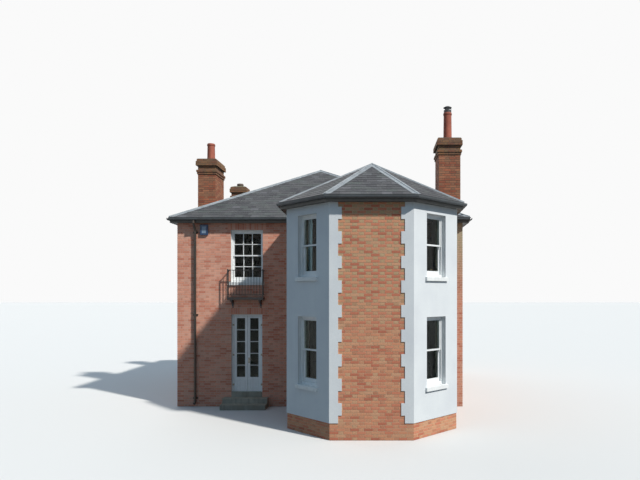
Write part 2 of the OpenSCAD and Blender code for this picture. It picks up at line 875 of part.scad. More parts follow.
module stone_sill(w) {
    half = w[2] / 2 + sill_horn;
    nose = -w[6] - sill_out;
    drip = nose + 2 * sill_groove;
    foot = w[3] - sill_t;
    on_side(w[0], w[1]) translate([-half, 0, 0]) rotate([90, 0, 90]) linear_extrude(2 * half) polygon([
        [w[5] + box_d, foot], [w[5] + box_d, w[3]], [-w[6], w[3]], [nose, w[3] - sill_fall],
        [nose, foot], [drip - sill_groove, foot], [drip - sill_groove, foot + sill_groove],
        [drip, foot + sill_groove], [drip, foot]
    ]);
}

module window_frames(list) {
    for (w = list) window_frame(w);
}

module window_panes(list) {
    for (w = list) window_glass(w);
}

module stone_sills() {
    color("gainsboro") for (w = WINDOWS) stone_sill(w);
}

// Glazed doors. Their local frame: x from the doorway's middle, y from the wall's face into the wall
clear_half = door_w / 2 - door_post;
leaf_top_z = door_head_z - door_post - leaf_gap;
leaf_foot_z = ground_floor_z + foot_gap;
leaf_w = clear_half - leaf_gap - meeting_gap / 2;
// A hinge pin stands in the gap beside the leaf, just in front of its face
pin_x = clear_half;
pin_y = door_reveal - barrel_r - pin_gap;
HINGES = [
    leaf_foot_z + hinge_inset,
    (leaf_foot_z + leaf_top_z) / 2,
    leaf_top_z - hinge_inset
];

module at_door() {
    on_side(FRONT, door_from_corner) children();
}

module door_post_piece(side) {
    color("white") at_door() block(
        [side < 0 ? -door_w / 2 : clear_half, door_reveal, ground_floor_z],
        [side < 0 ? -clear_half : door_w / 2, door_reveal + door_frame_d, door_head_z - door_post]
    );
}

module door_head() {
    color("white") at_door() block(
        [-door_w / 2, door_reveal, door_head_z - door_post],
        [door_w / 2, door_reveal + door_frame_d, door_head_z]
    );
}

// Fixed half of each hinge: a flap on the post, a barrel, and the pin that stands up from it
module hinge_pin(side, z) {
    translate([side * pin_x, pin_y, z - barrel_l]) {
        cylinder(r = barrel_r, h = barrel_l);
        cylinder(r = pin_r, h = 2 * barrel_l);
        block([side < 0 ? -flap_w : 0, barrel_r + pin_gap - flap_t, 0],
            [side < 0 ? 0 : flap_w, barrel_r + pin_gap, barrel_l]);
    }
}

module door_hinge_pins() {
    color("dimgray") at_door() for (side = [-1, 1], z = HINGES) hinge_pin(side, z);
}

// One leaf with its moving barrels, seen from outside; side is -1 for the left one
module door_leaf(side) {
    x0 = clear_half - leaf_gap;
    x1 = x0 - leaf_w;
    low = min(side * x0, side * x1);
    high = max(side * x0, side * x1);
    left_stile = side < 0 ? leaf_stile : leaf_meeting;
    right_stile = side < 0 ? leaf_meeting : leaf_stile;
    color("white") at_door() difference() {
        union() {
            difference() {
                block([low, door_reveal, leaf_foot_z], [high, door_reveal + leaf_t, leaf_top_z]);
                block([low + left_stile, door_reveal - over, leaf_foot_z + leaf_bottom],
                    [high - right_stile, door_reveal + leaf_t + over, leaf_top_z - leaf_top]);
            }
            for (z = HINGES) translate([side * pin_x, pin_y, z + pin_gap]) {
                cylinder(r = barrel_r, h = barrel_l - pin_gap);
                block([side < 0 ? 0 : -flap_w, barrel_r + pin_gap - flap_t, 0],
                    [side < 0 ? flap_w : 0, barrel_r + pin_gap, barrel_l - pin_gap]);
            }
        }
        for (z = HINGES) translate([side * pin_x, pin_y, z - over])
            cylinder(r = pin_r + pin_gap, h = barrel_l + 2 * over);
    }
}

module door_glass(side) {
    x0 = clear_half - leaf_gap - leaf_stile;
    x1 = clear_half - leaf_gap - leaf_w + leaf_meeting;
    y = door_reveal + (leaf_t - glass_t) / 2;
    color("lightblue") at_door() block(
        [min(side * x0, side * x1), y, leaf_foot_z + leaf_bottom],
        [max(side * x0, side * x1), y + glass_t, leaf_top_z - leaf_top]
    );
}

// Stone steps in front of the doorway and the threshold in it
module doorstep() {
    rise = ground_floor_z / (step_count + 1);
    color("gainsboro") at_door() {
        for (k = [1 : step_count])
            block([-step_w / 2, -step_tread * (step_count + 1 - k), 0], [step_w / 2, 0, rise * k]);
        block([-door_w / 2, 0, 0], [door_w / 2, wall_t, ground_floor_z]);
    }
}

// Balcony

balcony_front = -balcony_out;

// Side of a bracket: a quadrant hollowed out of the corner between the wall and the balcony
module bracket_outline(tip, foot) {
    difference() {
        polygon([[0, foot], [tip, foot], [tip, foot - bracket_nose], [0, foot - bracket_h]]);
        translate([tip, foot - bracket_h]) circle(r = bracket_h - bracket_nose, $fn = 64);
    }
}

module balcony_floor() {
    foot = balcony_z - balcony_t;
    tip = balcony_front + bracket_inset;
    color("dimgray") at_door() {
        block([-balcony_w / 2, balcony_front, foot], [balcony_w / 2, 0, balcony_z]);
        for (side = [-1, 1]) translate([side * (balcony_w / 2 - 2 * bracket_w) - bracket_w / 2, 0, 0])
            rotate([90, 0, 90]) linear_extrude(bracket_w) bracket_outline(tip, foot);
    }
}

// A run of railing along x from 0 to length, with its balusters between two rails
module railing_run(length) {
    foot = balcony_z + 3 * balcony_rail_h;
    top = balcony_rail_z - balcony_rail_h;
    count = ceil(length / baluster_pitch);
    block([0, -balcony_post / 3, foot], [length, balcony_post / 3, foot + balcony_rail_h]);
    block([0, -balcony_post / 2, top], [length, balcony_post / 2, balcony_rail_z]);
    for (k = [1 : count - 1]) translate([length * k / count, 0, foot])
        cylinder(d = baluster_d, h = top - foot, $fn = 16);
}

module balcony_railing() {
    half = balcony_w / 2 - balcony_post / 2;
    front = balcony_front + balcony_post / 2;
    side_run = balcony_out - balcony_post - 2 * joint_gap;
    color("dimgray") at_door() {
        translate([-half, front, 0]) railing_run(2 * half);
        for (side = [-1, 1]) {
            translate([side * half, front, 0]) block(
                [-balcony_post / 2, -balcony_post / 2, balcony_z],
                [balcony_post / 2, balcony_post / 2, balcony_rail_z + balcony_post]
            );
            translate([side * half, front + balcony_post / 2 + joint_gap, 0]) rotate([0, 0, 90])
                railing_run(side_run);
        }
    }
}

module alarm_box() {
    top = wall_top - alarm_drop;
    color("royalblue") on_side(FRONT, pipe_from_corner + alarm_from_pipe)
        block([0, -alarm_d, top - alarm_h], [alarm_w, 0, top]);
}

front_wall_beside_door(true);  // front_wall_left_of_door
front_wall_beside_door(false);  // front_wall_right_of_door
wall(FRONT, door_head_z);  // front_wall_over_door
wall(FRONT_END);  // front_wall_right_end
wall(LEFT);  // left_wall
wall(RIGHT);  // right_wall
wall(BACK);  // back_wall
wall(WING_LEFT);  // wing_left_wall
wall(WING_RIGHT);  // wing_right_wall
wall(LEFT_FACET);  // wing_left_facet
wall(FRONT_FACET);  // wing_front_facet
wall(RIGHT_FACET);  // wing_right_facet
stucco(LEFT_FACET);  // left_facet_stucco
stucco(RIGHT_FACET);  // right_facet_stucco
floor_plate(ground_floor_z, ground_floor_t);  // ground_floor
floor_plate(first_floor_z, first_floor_t);  // first_floor
main_roof();
wing_roof();
main_roof_leads();
wing_roof_leads();
soffits();
fascias();
gutters();
downpipes();
chimney(RIGHT_STACK);  // right_chimney
chimney(LEFT_STACK);  // left_chimney
chimney(REAR_STACK);  // rear_chimney
chimney_pots();
chimney_cowl();
window_frames(WING_WINDOWS);  // wing_windows
window_panes(WING_WINDOWS);  // wing_window_glass
window_frames([FRONT_WINDOW]);  // front_window
window_panes([FRONT_WINDOW]);  // front_window_glass
window_frames(SIDE_WINDOWS);  // side_windows
window_panes(SIDE_WINDOWS);  // side_window_glass
window_frames(BACK_WINDOWS);  // back_windows
window_panes(BACK_WINDOWS);  // back_window_glass
stone_sills();
door_post_piece(-1);  // door_left_post
door_post_piece(1);  // door_right_post
door_head();
doorstep();
door_hinge_pins();
door_leaf(-1);  // left_door_leaf
door_glass(-1);  // left_door_glass
door_leaf(1);  // right_door_leaf
door_glass(1);  // right_door_glass
balcony_floor();
balcony_railing();
alarm_box();
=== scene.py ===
# %% [markdown]
# A brick house with a canted end wing
#
# The solids of the house come from the CAD model as a fixed frame, in metres, with the ground at z = 0
# and the front looking along -Y. This script adds what a builder lays on them: bricks in their bond,
# slates in their courses, leads, glazing bars, gutter brackets and curtains, and it gives every surface
# its finish.

# %% Load the frame
import math
import random
from contextlib import contextmanager

import bmesh
import bpy
import numpy as np
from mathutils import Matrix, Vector


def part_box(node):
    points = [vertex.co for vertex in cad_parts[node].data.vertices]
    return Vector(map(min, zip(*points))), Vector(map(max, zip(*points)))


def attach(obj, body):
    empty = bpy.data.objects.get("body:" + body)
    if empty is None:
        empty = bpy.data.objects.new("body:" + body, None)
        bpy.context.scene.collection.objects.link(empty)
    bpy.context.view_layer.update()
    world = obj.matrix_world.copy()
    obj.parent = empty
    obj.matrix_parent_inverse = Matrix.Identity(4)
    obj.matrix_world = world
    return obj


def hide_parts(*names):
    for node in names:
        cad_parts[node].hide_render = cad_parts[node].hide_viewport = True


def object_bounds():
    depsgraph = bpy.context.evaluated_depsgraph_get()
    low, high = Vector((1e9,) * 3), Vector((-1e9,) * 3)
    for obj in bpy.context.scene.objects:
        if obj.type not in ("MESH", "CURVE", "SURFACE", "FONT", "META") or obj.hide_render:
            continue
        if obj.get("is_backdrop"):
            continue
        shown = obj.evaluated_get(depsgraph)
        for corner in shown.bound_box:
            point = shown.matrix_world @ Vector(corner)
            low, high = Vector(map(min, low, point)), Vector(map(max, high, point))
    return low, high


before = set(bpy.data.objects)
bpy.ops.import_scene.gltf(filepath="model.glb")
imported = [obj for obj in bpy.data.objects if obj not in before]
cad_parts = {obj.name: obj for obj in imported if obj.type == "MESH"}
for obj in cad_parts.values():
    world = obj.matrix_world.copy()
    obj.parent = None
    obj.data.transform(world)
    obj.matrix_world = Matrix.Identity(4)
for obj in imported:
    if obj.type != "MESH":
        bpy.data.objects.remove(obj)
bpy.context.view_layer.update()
dice = random.Random(1834)

# %% [markdown]
# Camera
#
# The house is seen from the front at 3.6 m up, level, so that upright edges stay upright. A view camera
# does this by sliding its lens instead of tilting, and the shift values do the same here.

# %% Camera
EYE = (1.75, -19.84, 3.6)
SENSOR_MM, LENS_MM = 36, 31.39
SLIDE_ACROSS, SLIDE_UP = -0.086, 0.083
camera = bpy.data.objects.new("camera", bpy.data.cameras.new("camera"))
bpy.context.scene.collection.objects.link(camera)
bpy.context.scene.camera = camera
camera.location = EYE
camera.rotation_euler = (math.pi / 2, 0, 0)
camera.data.sensor_width, camera.data.lens = SENSOR_MM, LENS_MM
camera.data.shift_x, camera.data.shift_y = SLIDE_ACROSS, SLIDE_UP
print("camera at", EYE, "with a lens of", LENS_MM, "mm")

# %% [markdown]
# Light
#
# A house stands in sunlight and in the light of the sky. One strong lamp stands in for the sun, high on
# the right and a little warm. A weak, very wide one fills the back and left, and the world gives the
# even, bluish light that shade gets from a clear sky. The world is white only where the camera, a
# reflection or glass looks at it, so the pale backdrop adds no light to the walls.

# %% Node helpers
def node(tree, kind, sockets=None, **settings):
    """Adds a shader node, sets its options, and links or sets its sockets."""
    made = tree.nodes.new("ShaderNode" + kind)
    for name, value in settings.items():
        setattr(made, name, value)
    for key, value in (sockets or {}).items():
        if isinstance(value, bpy.types.NodeSocket):
            tree.links.new(value, made.inputs[key])
        else:
            made.inputs[key].default_value = value
    return made


def colour(red, green, blue):
    """A colour as painters' charts write it, from 0 to 255, in the linear values that shaders use."""
    def linear(c):
        c /= 255
        return c / 12.92 if c <= 0.04045 else ((c + 0.055) / 1.055) ** 2.4
    return (linear(red), linear(green), linear(blue), 1)


def sums(tree, operation, a, b=0.0, clamp=False):
    """One Math node, which takes values or sockets."""
    return node(tree, "Math", {0: a, 1: b}, operation=operation, use_clamp=clamp).outputs[0]


def blend_colour(tree, share, a, b):
    """The colour a, with a share of the colour b in it."""
    return node(tree, "Mix", {0: share, 6: a, 7: b}, data_type="RGBA").outputs[2]


def stain(tree, base, mask, most, shade):
    """Lays a shade over a colour where the mask shows, and at most that much of it."""
    return blend_colour(tree, sums(tree, "MULTIPLY", mask, most), base, shade)


def spread(tree, value, low, high, to_low=0.0, to_high=1.0):
    """Stretches the values between low and high to a new span, and cuts off the rest."""
    return node(tree, "MapRange", {0: value, 1: low, 2: high, 3: to_low, 4: to_high}).outputs[0]


print("a mid grey of 128 is", round(colour(128, 128, 128)[0], 3), "in linear values")


# %% Lights
SUNLIGHT_TINT = (1, 0.965, 0.91)


def sun(name, towards, strength, width, tint=(1, 1, 1)):
    """A lamp in the sky, seen in that direction; the wider it is, in degrees, the softer its shadows."""
    lamp = bpy.data.objects.new(name, bpy.data.lights.new(name, "SUN"))
    lamp.data.color = tint
    lamp.data.energy = strength
    lamp.data.angle = math.radians(width)
    lamp.rotation_euler = Vector(towards).to_track_quat("Z", "Y").to_euler()
    bpy.context.scene.collection.objects.link(lamp)


sun("key", (0.577, -0.433, 0.693), 4.1, 2.5, SUNLIGHT_TINT)
sun("fill", (-0.45, 0.75, 0.5), 0.7, 60)
print("a sun, and a weak, wide fill")


# %% World
FILL, SKY_TINT = 0.36, (0.42, 0.7, 1, 1)
BACKDROP = colour(250, 250, 250)


def seen_directly(tree):
    """1 where the camera, a reflection or glass looks, and 0 for light that only lights."""
    path = node(tree, "LightPath").outputs
    looks = sums(tree, "ADD", path["Is Camera Ray"], path["Is Glossy Ray"])
    return sums(tree, "ADD", looks, path["Is Transmission Ray"], clamp=True)


world = bpy.data.worlds.new("sky")
bpy.context.scene.world = world
world.use_nodes = True
sky = world.node_tree
sky.nodes.clear()
even = node(sky, "Background", {"Color": SKY_TINT, "Strength": FILL})
white = node(sky, "Background", {"Color": BACKDROP, "Strength": 1})
both = node(sky, "MixShader", {0: seen_directly(sky), 1: even.outputs[0], 2: white.outputs[0]})
node(sky, "OutputWorld", {0: both.outputs[0]})

bpy.context.scene.view_settings.view_transform = "Standard"
print("the sky lights at", FILL, "and looks white")


# %% Floor
FLOOR_SEEN = colour(218, 218, 216)
FLOOR_FELT = colour(92, 92, 90)


def new_material(name):
    """A material with its Principled shader; returns the material, its tree and the shader."""
    made = bpy.data.materials.new(name)
    made.use_nodes = True
    tree = made.node_tree
    tree.nodes.clear()
    surface = node(tree, "BsdfPrincipled")
    node(tree, "OutputMaterial", {0: surface.outputs[0]})
    return made, tree, surface


bpy.ops.object.select_all(action="DESELECT")
bpy.ops.mesh.primitive_plane_add(size=400, location=(0, 0, -0.003))
floor = bpy.context.object
floor.name = "floor"
floor_finish, tree, surface = new_material("floor")
base = blend_colour(tree, seen_directly(tree), FLOOR_FELT, FLOOR_SEEN)
tree.links.new(base, surface.inputs["Base Color"])
surface.inputs["Roughness"].default_value = 0.9
floor.data.materials.append(floor_finish)
floor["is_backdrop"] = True
print("floor set")

# %% [markdown]
# Shared effects
#
# Weather leaves the same marks on every finish: a fine grain, broad patches, and streaks where rain runs
# down. One node group makes the three masks from a place on the object, and each material uses them at
# its own size.

# %% Weather group
def weather_group():
    """Builds the group: a place and a grain go in, and three masks from 0 to 1 come out."""
    tree = bpy.data.node_groups.new("weather", "ShaderNodeTree")
    face = tree.interface
    face.new_socket("Place", in_out="INPUT", socket_type="NodeSocketVector")
    face.new_socket("Grain", in_out="INPUT", socket_type="NodeSocketFloat").default_value = 40
    for name in ("Fine", "Patches", "Streaks"):
        face.new_socket(name, in_out="OUTPUT", socket_type="NodeSocketFloat")
    given = tree.nodes.new("NodeGroupInput").outputs
    made = tree.nodes.new("NodeGroupOutput").inputs
    fine = node(tree, "TexNoise", {"Vector": given["Place"], "Scale": given["Grain"], "Detail": 5.0})
    broad = node(tree, "TexNoise", {
        "Vector": given["Place"], "Scale": sums(tree, "MULTIPLY", given["Grain"], 0.05), "Detail": 4.0})
    tall = node(tree, "VectorMath", {0: given["Place"], 1: (1, 1, 0.07)}, operation="MULTIPLY")
    runs = node(tree, "TexNoise", {
        "Vector": tall.outputs[0], "Scale": sums(tree, "MULTIPLY", given["Grain"], 0.25), "Detail": 3.0})
    tree.links.new(spread(tree, fine.outputs[0], 0.25, 0.75), made["Fine"])
    tree.links.new(spread(tree, broad.outputs[0], 0.35, 0.65), made["Patches"])
    tree.links.new(spread(tree, runs.outputs[0], 0.48, 0.72), made["Streaks"])
    return tree


WEATHER = weather_group()


def weather(tree, grain):
    """The weather masks of a material, and the place that they and other patterns are read at."""
    place = node(tree, "TexCoord").outputs["Object"]
    made = node(tree, "Group", node_tree=WEATHER)
    tree.links.new(place, made.inputs["Place"])
    made.inputs["Grain"].default_value = grain
    return place, made.outputs


print("weather group with", len(WEATHER.nodes), "nodes")


# %% From masks to a finish
def roughen(tree, surface, height, strength, depth):
    """A bump, that many metres deep."""
    bump = node(tree, "Bump", {"Strength": strength, "Distance": depth, "Height": height})
    tree.links.new(bump.outputs[0], surface.inputs["Normal"])


def coat(tree, surface, base, grain, rough, bump, depth):
    """Gives a shader its colour, and takes its roughness and its bump from the grain."""
    tree.links.new(base, surface.inputs["Base Color"])
    tree.links.new(spread(tree, grain, 0, 1, *rough), surface.inputs["Roughness"])
    roughen(tree, surface, grain, bump, depth)


def weathered(name, pale, dark, grime, grain=40, grime_share=0.3, rough=(0.5, 0.7), bump=0.2, depth=0.003,
              metal=0.0):
    """A finish that drifts from pale to dark in patches and grain, with grime where rain runs down."""
    made, tree, surface = new_material(name)
    place, marks = weather(tree, grain)
    base = blend_colour(tree, marks["Patches"], pale, dark)
    base = stain(tree, base, marks["Fine"], 0.35, dark)
    base = stain(tree, base, marks["Streaks"], grime_share, grime)
    surface.inputs["Metallic"].default_value = metal
    coat(tree, surface, base, marks["Fine"], rough, bump, depth)
    return made


def dress(finish, *names):
    """Gives CAD nodes their finish."""
    for name in names:
        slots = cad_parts[name].data.materials
        slots.clear()
        slots.append(finish)


print("recipe for weathered finishes ready")

# %% [markdown]
# Paint, stone and metal
#
# Paint, stone, iron and lead could each have a material of their own. But weather wears them all in the
# same way, so one recipe makes them, with other colours and another grain: paint is pale and nearly even,
# stone is coarse, and iron is dark and a little glossy.

# %% Plain finishes
window_paint = weathered("window_paint", colour(236, 239, 239), colour(225, 228, 229),
                         colour(150, 148, 138), grain=90, grime_share=0.1, rough=(0.3, 0.5),
                         bump=0.12, depth=0.001)
stucco = weathered("stucco", colour(220, 225, 227), colour(210, 215, 219), colour(154, 157, 150),
                   grain=26, grime_share=0.04, rough=(0.7, 0.9), bump=0.25, depth=0.003)
sill_paint = weathered("sill_paint", colour(234, 237, 237), colour(221, 224, 224), colour(140, 140, 132),
                       grain=60, grime_share=0.12, rough=(0.5, 0.75), bump=0.3, depth=0.002)
step_stone = weathered("step_stone", colour(172, 168, 156), colour(140, 136, 124), colour(84, 86, 72),
                       grain=50, grime_share=0.35, rough=(0.75, 0.95), bump=0.5, depth=0.004)
eaves_paint = weathered("eaves_paint", colour(58, 60, 58), colour(44, 45, 44), colour(86, 84, 76),
                        grain=50, grime_share=0.25, rough=(0.4, 0.65), bump=0.25, depth=0.002)
gutter_iron = weathered("gutter_iron", colour(72, 78, 82), colour(54, 59, 63), colour(43, 43, 41),
                        grain=35, grime_share=0.5, rough=(0.45, 0.7), bump=0.3, depth=0.002)
pipe_iron = weathered("pipe_iron", colour(52, 46, 40), colour(38, 34, 31), colour(98, 62, 36),
                      grain=40, grime_share=0.3, rough=(0.35, 0.6), bump=0.3, depth=0.002)
balcony_iron = weathered("balcony_iron", colour(38, 38, 40), colour(28, 28, 30), colour(92, 58, 34),
                         grain=60, grime_share=0.3, rough=(0.35, 0.6), bump=0.3, depth=0.002)
hinge_metal = weathered("hinge_metal", colour(150, 146, 138), colour(116, 112, 104), colour(84, 66, 46),
                        grain=120, grime_share=0.3, rough=(0.3, 0.5), bump=0.2, depth=0.001, metal=1.0)
cowl_metal = weathered("cowl_metal", colour(54, 58, 64), colour(36, 40, 46), colour(92, 62, 40),
                       grain=60, grime_share=0.35, rough=(0.4, 0.65), bump=0.3, depth=0.002)
terracotta = weathered("terracotta", colour(175, 99, 78), colour(144, 76, 60), colour(68, 52, 43),
                       grain=45, grime_share=0.6, rough=(0.7, 0.9), bump=0.35, depth=0.004)
lead = weathered("lead", colour(150, 158, 164), colour(126, 133, 139), colour(91, 95, 95),
                 grain=35, grime_share=0.45, rough=(0.45, 0.65), bump=0.35, depth=0.004)

dress(window_paint, "wing_windows", "front_window", "side_windows", "back_windows", "door_left_post",
      "door_right_post", "door_head", "left_door_leaf", "right_door_leaf")
dress(stucco, "left_facet_stucco", "right_facet_stucco")
dress(sill_paint, "stone_sills")
dress(step_stone, "doorstep")
dress(eaves_paint, "soffits", "fascias")
dress(gutter_iron, "gutters")
dress(pipe_iron, "downpipes")
dress(balcony_iron, "balcony_railing", "balcony_floor")
dress(hinge_metal, "door_hinge_pins")
dress(cowl_metal, "chimney_cowl")
dress(terracotta, "chimney_pots")
dress(lead, "main_roof_leads", "wing_roof_leads")
print("plain finishes on", sum(1 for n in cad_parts.values() if n.data.materials), "nodes")

# %% [markdown]
# The rear pot
#
# The pot of the small stack at the back is sootier than the others. All pots are one CAD node, and its
# mesh isn't to be touched, so it can't get a second material. Instead the one material turns darker from
# the place where that stack begins.

# %% Soot on the rear pot
REAR_POT_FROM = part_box("rear_chimney")[0].y
tree = terracotta.node_tree
surface = next(n for n in tree.nodes if n.type == "BSDF_PRINCIPLED")
fired = surface.inputs["Base Color"].links[0].from_socket
back = node(tree, "SeparateXYZ", {0: node(tree, "TexCoord").outputs["Object"]}).outputs[1]
sooty = blend_colour(tree, spread(tree, back, REAR_POT_FROM, REAR_POT_FROM + 0.01), fired,
                     colour(92, 80, 70))
tree.links.new(sooty, surface.inputs["Base Color"])
print("the pots behind y =", round(REAR_POT_FROM, 2), "are sooty")

# %% [markdown]
# Glass
#
# Old drawn glass isn't quite flat. Ripples could be modelled, but they are far too shallow to see, so a
# broad, weak bump makes the reflections waver instead. The colour, the gloss and the transmission are the
# same all over a pane, so they are plain numbers on the shader.

# %% Window glass
window_glass, tree, surface = new_material("window_glass")
surface.inputs["Base Color"].default_value = colour(206, 216, 214)
surface.inputs["Roughness"].default_value = 0.03
surface.inputs["Transmission Weight"].default_value = 1.0
surface.inputs["IOR"].default_value = 1.18
ripple = node(tree, "TexNoise", {"Vector": node(tree, "TexCoord").outputs["Object"], "Scale": 1.5})
roughen(tree, surface, ripple.outputs[0], 0.05, 0.005)
dress(window_glass, "wing_window_glass", "front_window_glass", "side_window_glass", "back_window_glass",
      "left_door_glass", "right_door_glass")
print("glass in the windows and doors")

# %% [markdown]
# Plan of the walls
#
# Bricks are set out from the corners of the house, so the plan is read from the CAD walls. Each side of
# the plan has its own frame: u runs along the wall, seen from outside, y into it and z up, as on a
# bricklayer's drawing.

# %% Frames
def matrix_of(x, y, z, at):
    """The matrix that turns a piece's own axes to x, y and z, and puts its origin at a place."""
    made = np.eye(4)
    made[:3, 0], made[:3, 1], made[:3, 2], made[:3, 3] = x, y, z, at
    return made


def point_in(matrix, u, y, z):
    """The place that a frame calls u, y and z."""
    return matrix[:3, 3] + matrix[:3, :3] @ (u, y, z)


def place_in(matrix, u, y, z, su=1.0, sy=1.0, sz=1.0):
    """The matrix of a copy at u, y and z of a frame, stretched along each."""
    return matrix_of(matrix[:3, 0] * su, matrix[:3, 1] * sy, matrix[:3, 2] * sz, point_in(matrix, u, y, z))


print("helpers for frames ready")


# %% Sides of the house
class Side:
    """One upright face. u runs to the right as seen from outside, y goes in, z goes up."""

    def __init__(self, name, start, end):
        self.name = name
        run = Vector((end[0] - start[0], end[1] - start[1], 0))
        self.length = run.length
        self.along = run.normalized()
        self.inward = Vector((-self.along.y, self.along.x, 0))
        self.start = Vector((start[0], start[1], 0))
        self.matrix = matrix_of(self.along, self.inward, (0, 0, 1), self.start)

    def local(self, points):
        """Points of the house in this side's u, y and z."""
        return (np.asarray(points) - self.matrix[:3, 3]) @ self.matrix[:3, :3]


house_left, house_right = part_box("left_wall")[0].x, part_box("right_wall")[1].x
house_front, house_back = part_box("front_wall_left_of_door")[0].y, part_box("back_wall")[1].y
wing_left, wing_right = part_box("wing_left_wall")[0].x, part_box("wing_right_wall")[1].x
wing_side_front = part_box("wing_left_wall")[0].y
wing_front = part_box("wing_front_facet")[0].y
facet_left, facet_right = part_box("wing_front_facet")[0].x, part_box("wing_front_facet")[1].x
PLAN = [
    ("front", (house_left, house_front)), ("wing_left", (wing_left, house_front)),
    ("left_facet", (wing_left, wing_side_front)), ("wing_front", (facet_left, wing_front)),
    ("right_facet", (facet_right, wing_front)), ("wing_right", (wing_right, wing_side_front)),
    ("front_end", (wing_right, house_front)), ("right", (house_right, house_front)),
    ("back", (house_right, house_back)), ("left", (house_left, house_back)),
]
SIDES = {name: Side(name, start, PLAN[(i + 1) % len(PLAN)][1]) for i, (name, start) in enumerate(PLAN)}
for side in SIDES.values():
    print(f"{side.name:12s} {side.length:.3f} m long")


# %% Solids of a node
def solids(name):
    """The separate solids of a CAD node, each as an array of its corners."""
    copy = bmesh.new()
    copy.from_mesh(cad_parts[name].data)
    bmesh.ops.remove_doubles(copy, verts=copy.verts, dist=1e-5)
    left, found = set(copy.verts), []
    while left:
        heap, solid = [left.pop()], []
        while heap:
            vertex = heap.pop()
            solid.append(vertex.co[:])
            for edge in vertex.link_edges:
                other = edge.other_vert(vertex)
                if other in left:
                    left.remove(other)
                    heap.append(other)
        found.append(np.array(solid))
    copy.free()
    return found


def side_of(points):
    """The side that a window or sill belongs to, and its low and high corners in that side's frame.

    That is the side in which it lies flattest and nearest to the outer face."""
    best = None
    for side in SIDES.values():
        spot = side.local(points)
        low, high = spot.min(0), spot.max(0)
        if -0.1 < low[0] and high[0] < side.length + 0.1:
            score = abs(spot[:, 1].mean() - 0.1) + (high[1] - low[1])
            if best is None or score < best[0]:
                best = (score, side, low, high)
    return best[1:]


print("the wing has", len(solids("wing_windows")), "windows")


# %% Openings in the walls
SILL_JOINT = 0.008


class Opening:
    """A gap in the brickwork of a side: from u0 to u1 and z0 to z1."""

    def __init__(self, u0, u1, z0, z1, arched=False):
        self.u0, self.u1, self.z0, self.z1, self.arched = u0, u1, z0, z1, arched


openings = {name: [] for name in SIDES}
windows = []
for name in ("front_window", "side_windows", "back_windows", "wing_windows"):
    for solid in solids(name):
        side, low, high = side_of(solid)
        windows.append((side, low, high))
        openings[side.name].append(Opening(low[0], high[0], low[2], high[2], arched=True))
for solid in solids("stone_sills"):
    side, low, high = side_of(solid)
    openings[side.name].append(
        Opening(low[0] - SILL_JOINT, high[0] + SILL_JOINT, low[2] - SILL_JOINT, high[2]))
front = SIDES["front"]
door_u0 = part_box("door_left_post")[0].x - house_left
door_u1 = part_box("door_right_post")[1].x - house_left
door_head_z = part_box("door_head")[1].z
openings["front"].append(Opening(door_u0, door_u1, -1, door_head_z, arched=True))
print("openings in each side:", {name: len(found) for name, found in openings.items()})

# %% [markdown]
# Laying bricks
#
# A real wall shows each brick a little proud of its weathered mortar, and no two bricks have the same
# colour. One brick is modelled with worn arrises, and copies of it are laid over the CAD walls in Flemish
# bond: in each course a long stretcher and a short header by turns, and each header over the middle of a
# stretcher.

# %% Working on a mesh
@contextmanager
def editing(piece, mode="FACE"):
    """Edit mode on one piece alone, with nothing selected; an operator acts on all that is."""
    bpy.ops.object.select_all(action="DESELECT")
    piece.select_set(True)
    bpy.context.view_layer.objects.active = piece
    bpy.ops.object.mode_set(mode="EDIT")
    bpy.ops.mesh.select_mode(type=mode)
    bpy.ops.mesh.select_all(action="DESELECT")
    yield
    bpy.ops.object.mode_set(mode="OBJECT")


def pick_faces(piece, test):
    """Selects the faces whose middle and normal pass the test, in edit mode."""
    mesh = bmesh.from_edit_mesh(piece.data)
    for face in mesh.faces:
        face.select_set(test(face.calc_center_median(), face.normal))
    bmesh.update_edit_mesh(piece.data)


def settle(piece):
    """Moves a piece's place, turn and size into its mesh."""
    bpy.ops.object.select_all(action="DESELECT")
    piece.select_set(True)
    bpy.context.view_layer.objects.active = piece
    bpy.ops.object.transform_apply(location=True, rotation=True, scale=True)
    return piece


print("helpers for work on a mesh ready")


# %% Starts and copies
def block(name, low, high):
    """A block between two corners, as a start for a piece."""
    low, high = Vector(low), Vector(high)
    bpy.ops.object.select_all(action="DESELECT")
    bpy.ops.mesh.primitive_cube_add(size=1, location=(low + high) / 2)
    piece = bpy.context.object
    piece.name = name
    piece.scale = high - low
    return settle(piece)


def tube(vertices, radius, length, turn, place=(0, 0, 0), ends="NGON"):
    """A cylinder, as a start for a round piece."""
    bpy.ops.object.select_all(action="DESELECT")
    bpy.ops.mesh.primitive_cylinder_add(vertices=vertices, radius=radius, depth=length, end_fill_type=ends,
                                        rotation=turn, location=place)
    return settle(bpy.context.object)


def pattern(piece):
    """Takes a modelled piece away and keeps its corners and faces, to be copied."""
    corners = np.array([v.co for v in piece.data.vertices])
    faces = np.array([list(p.vertices) for p in piece.data.polygons])
    bpy.data.objects.remove(piece)
    return corners, faces


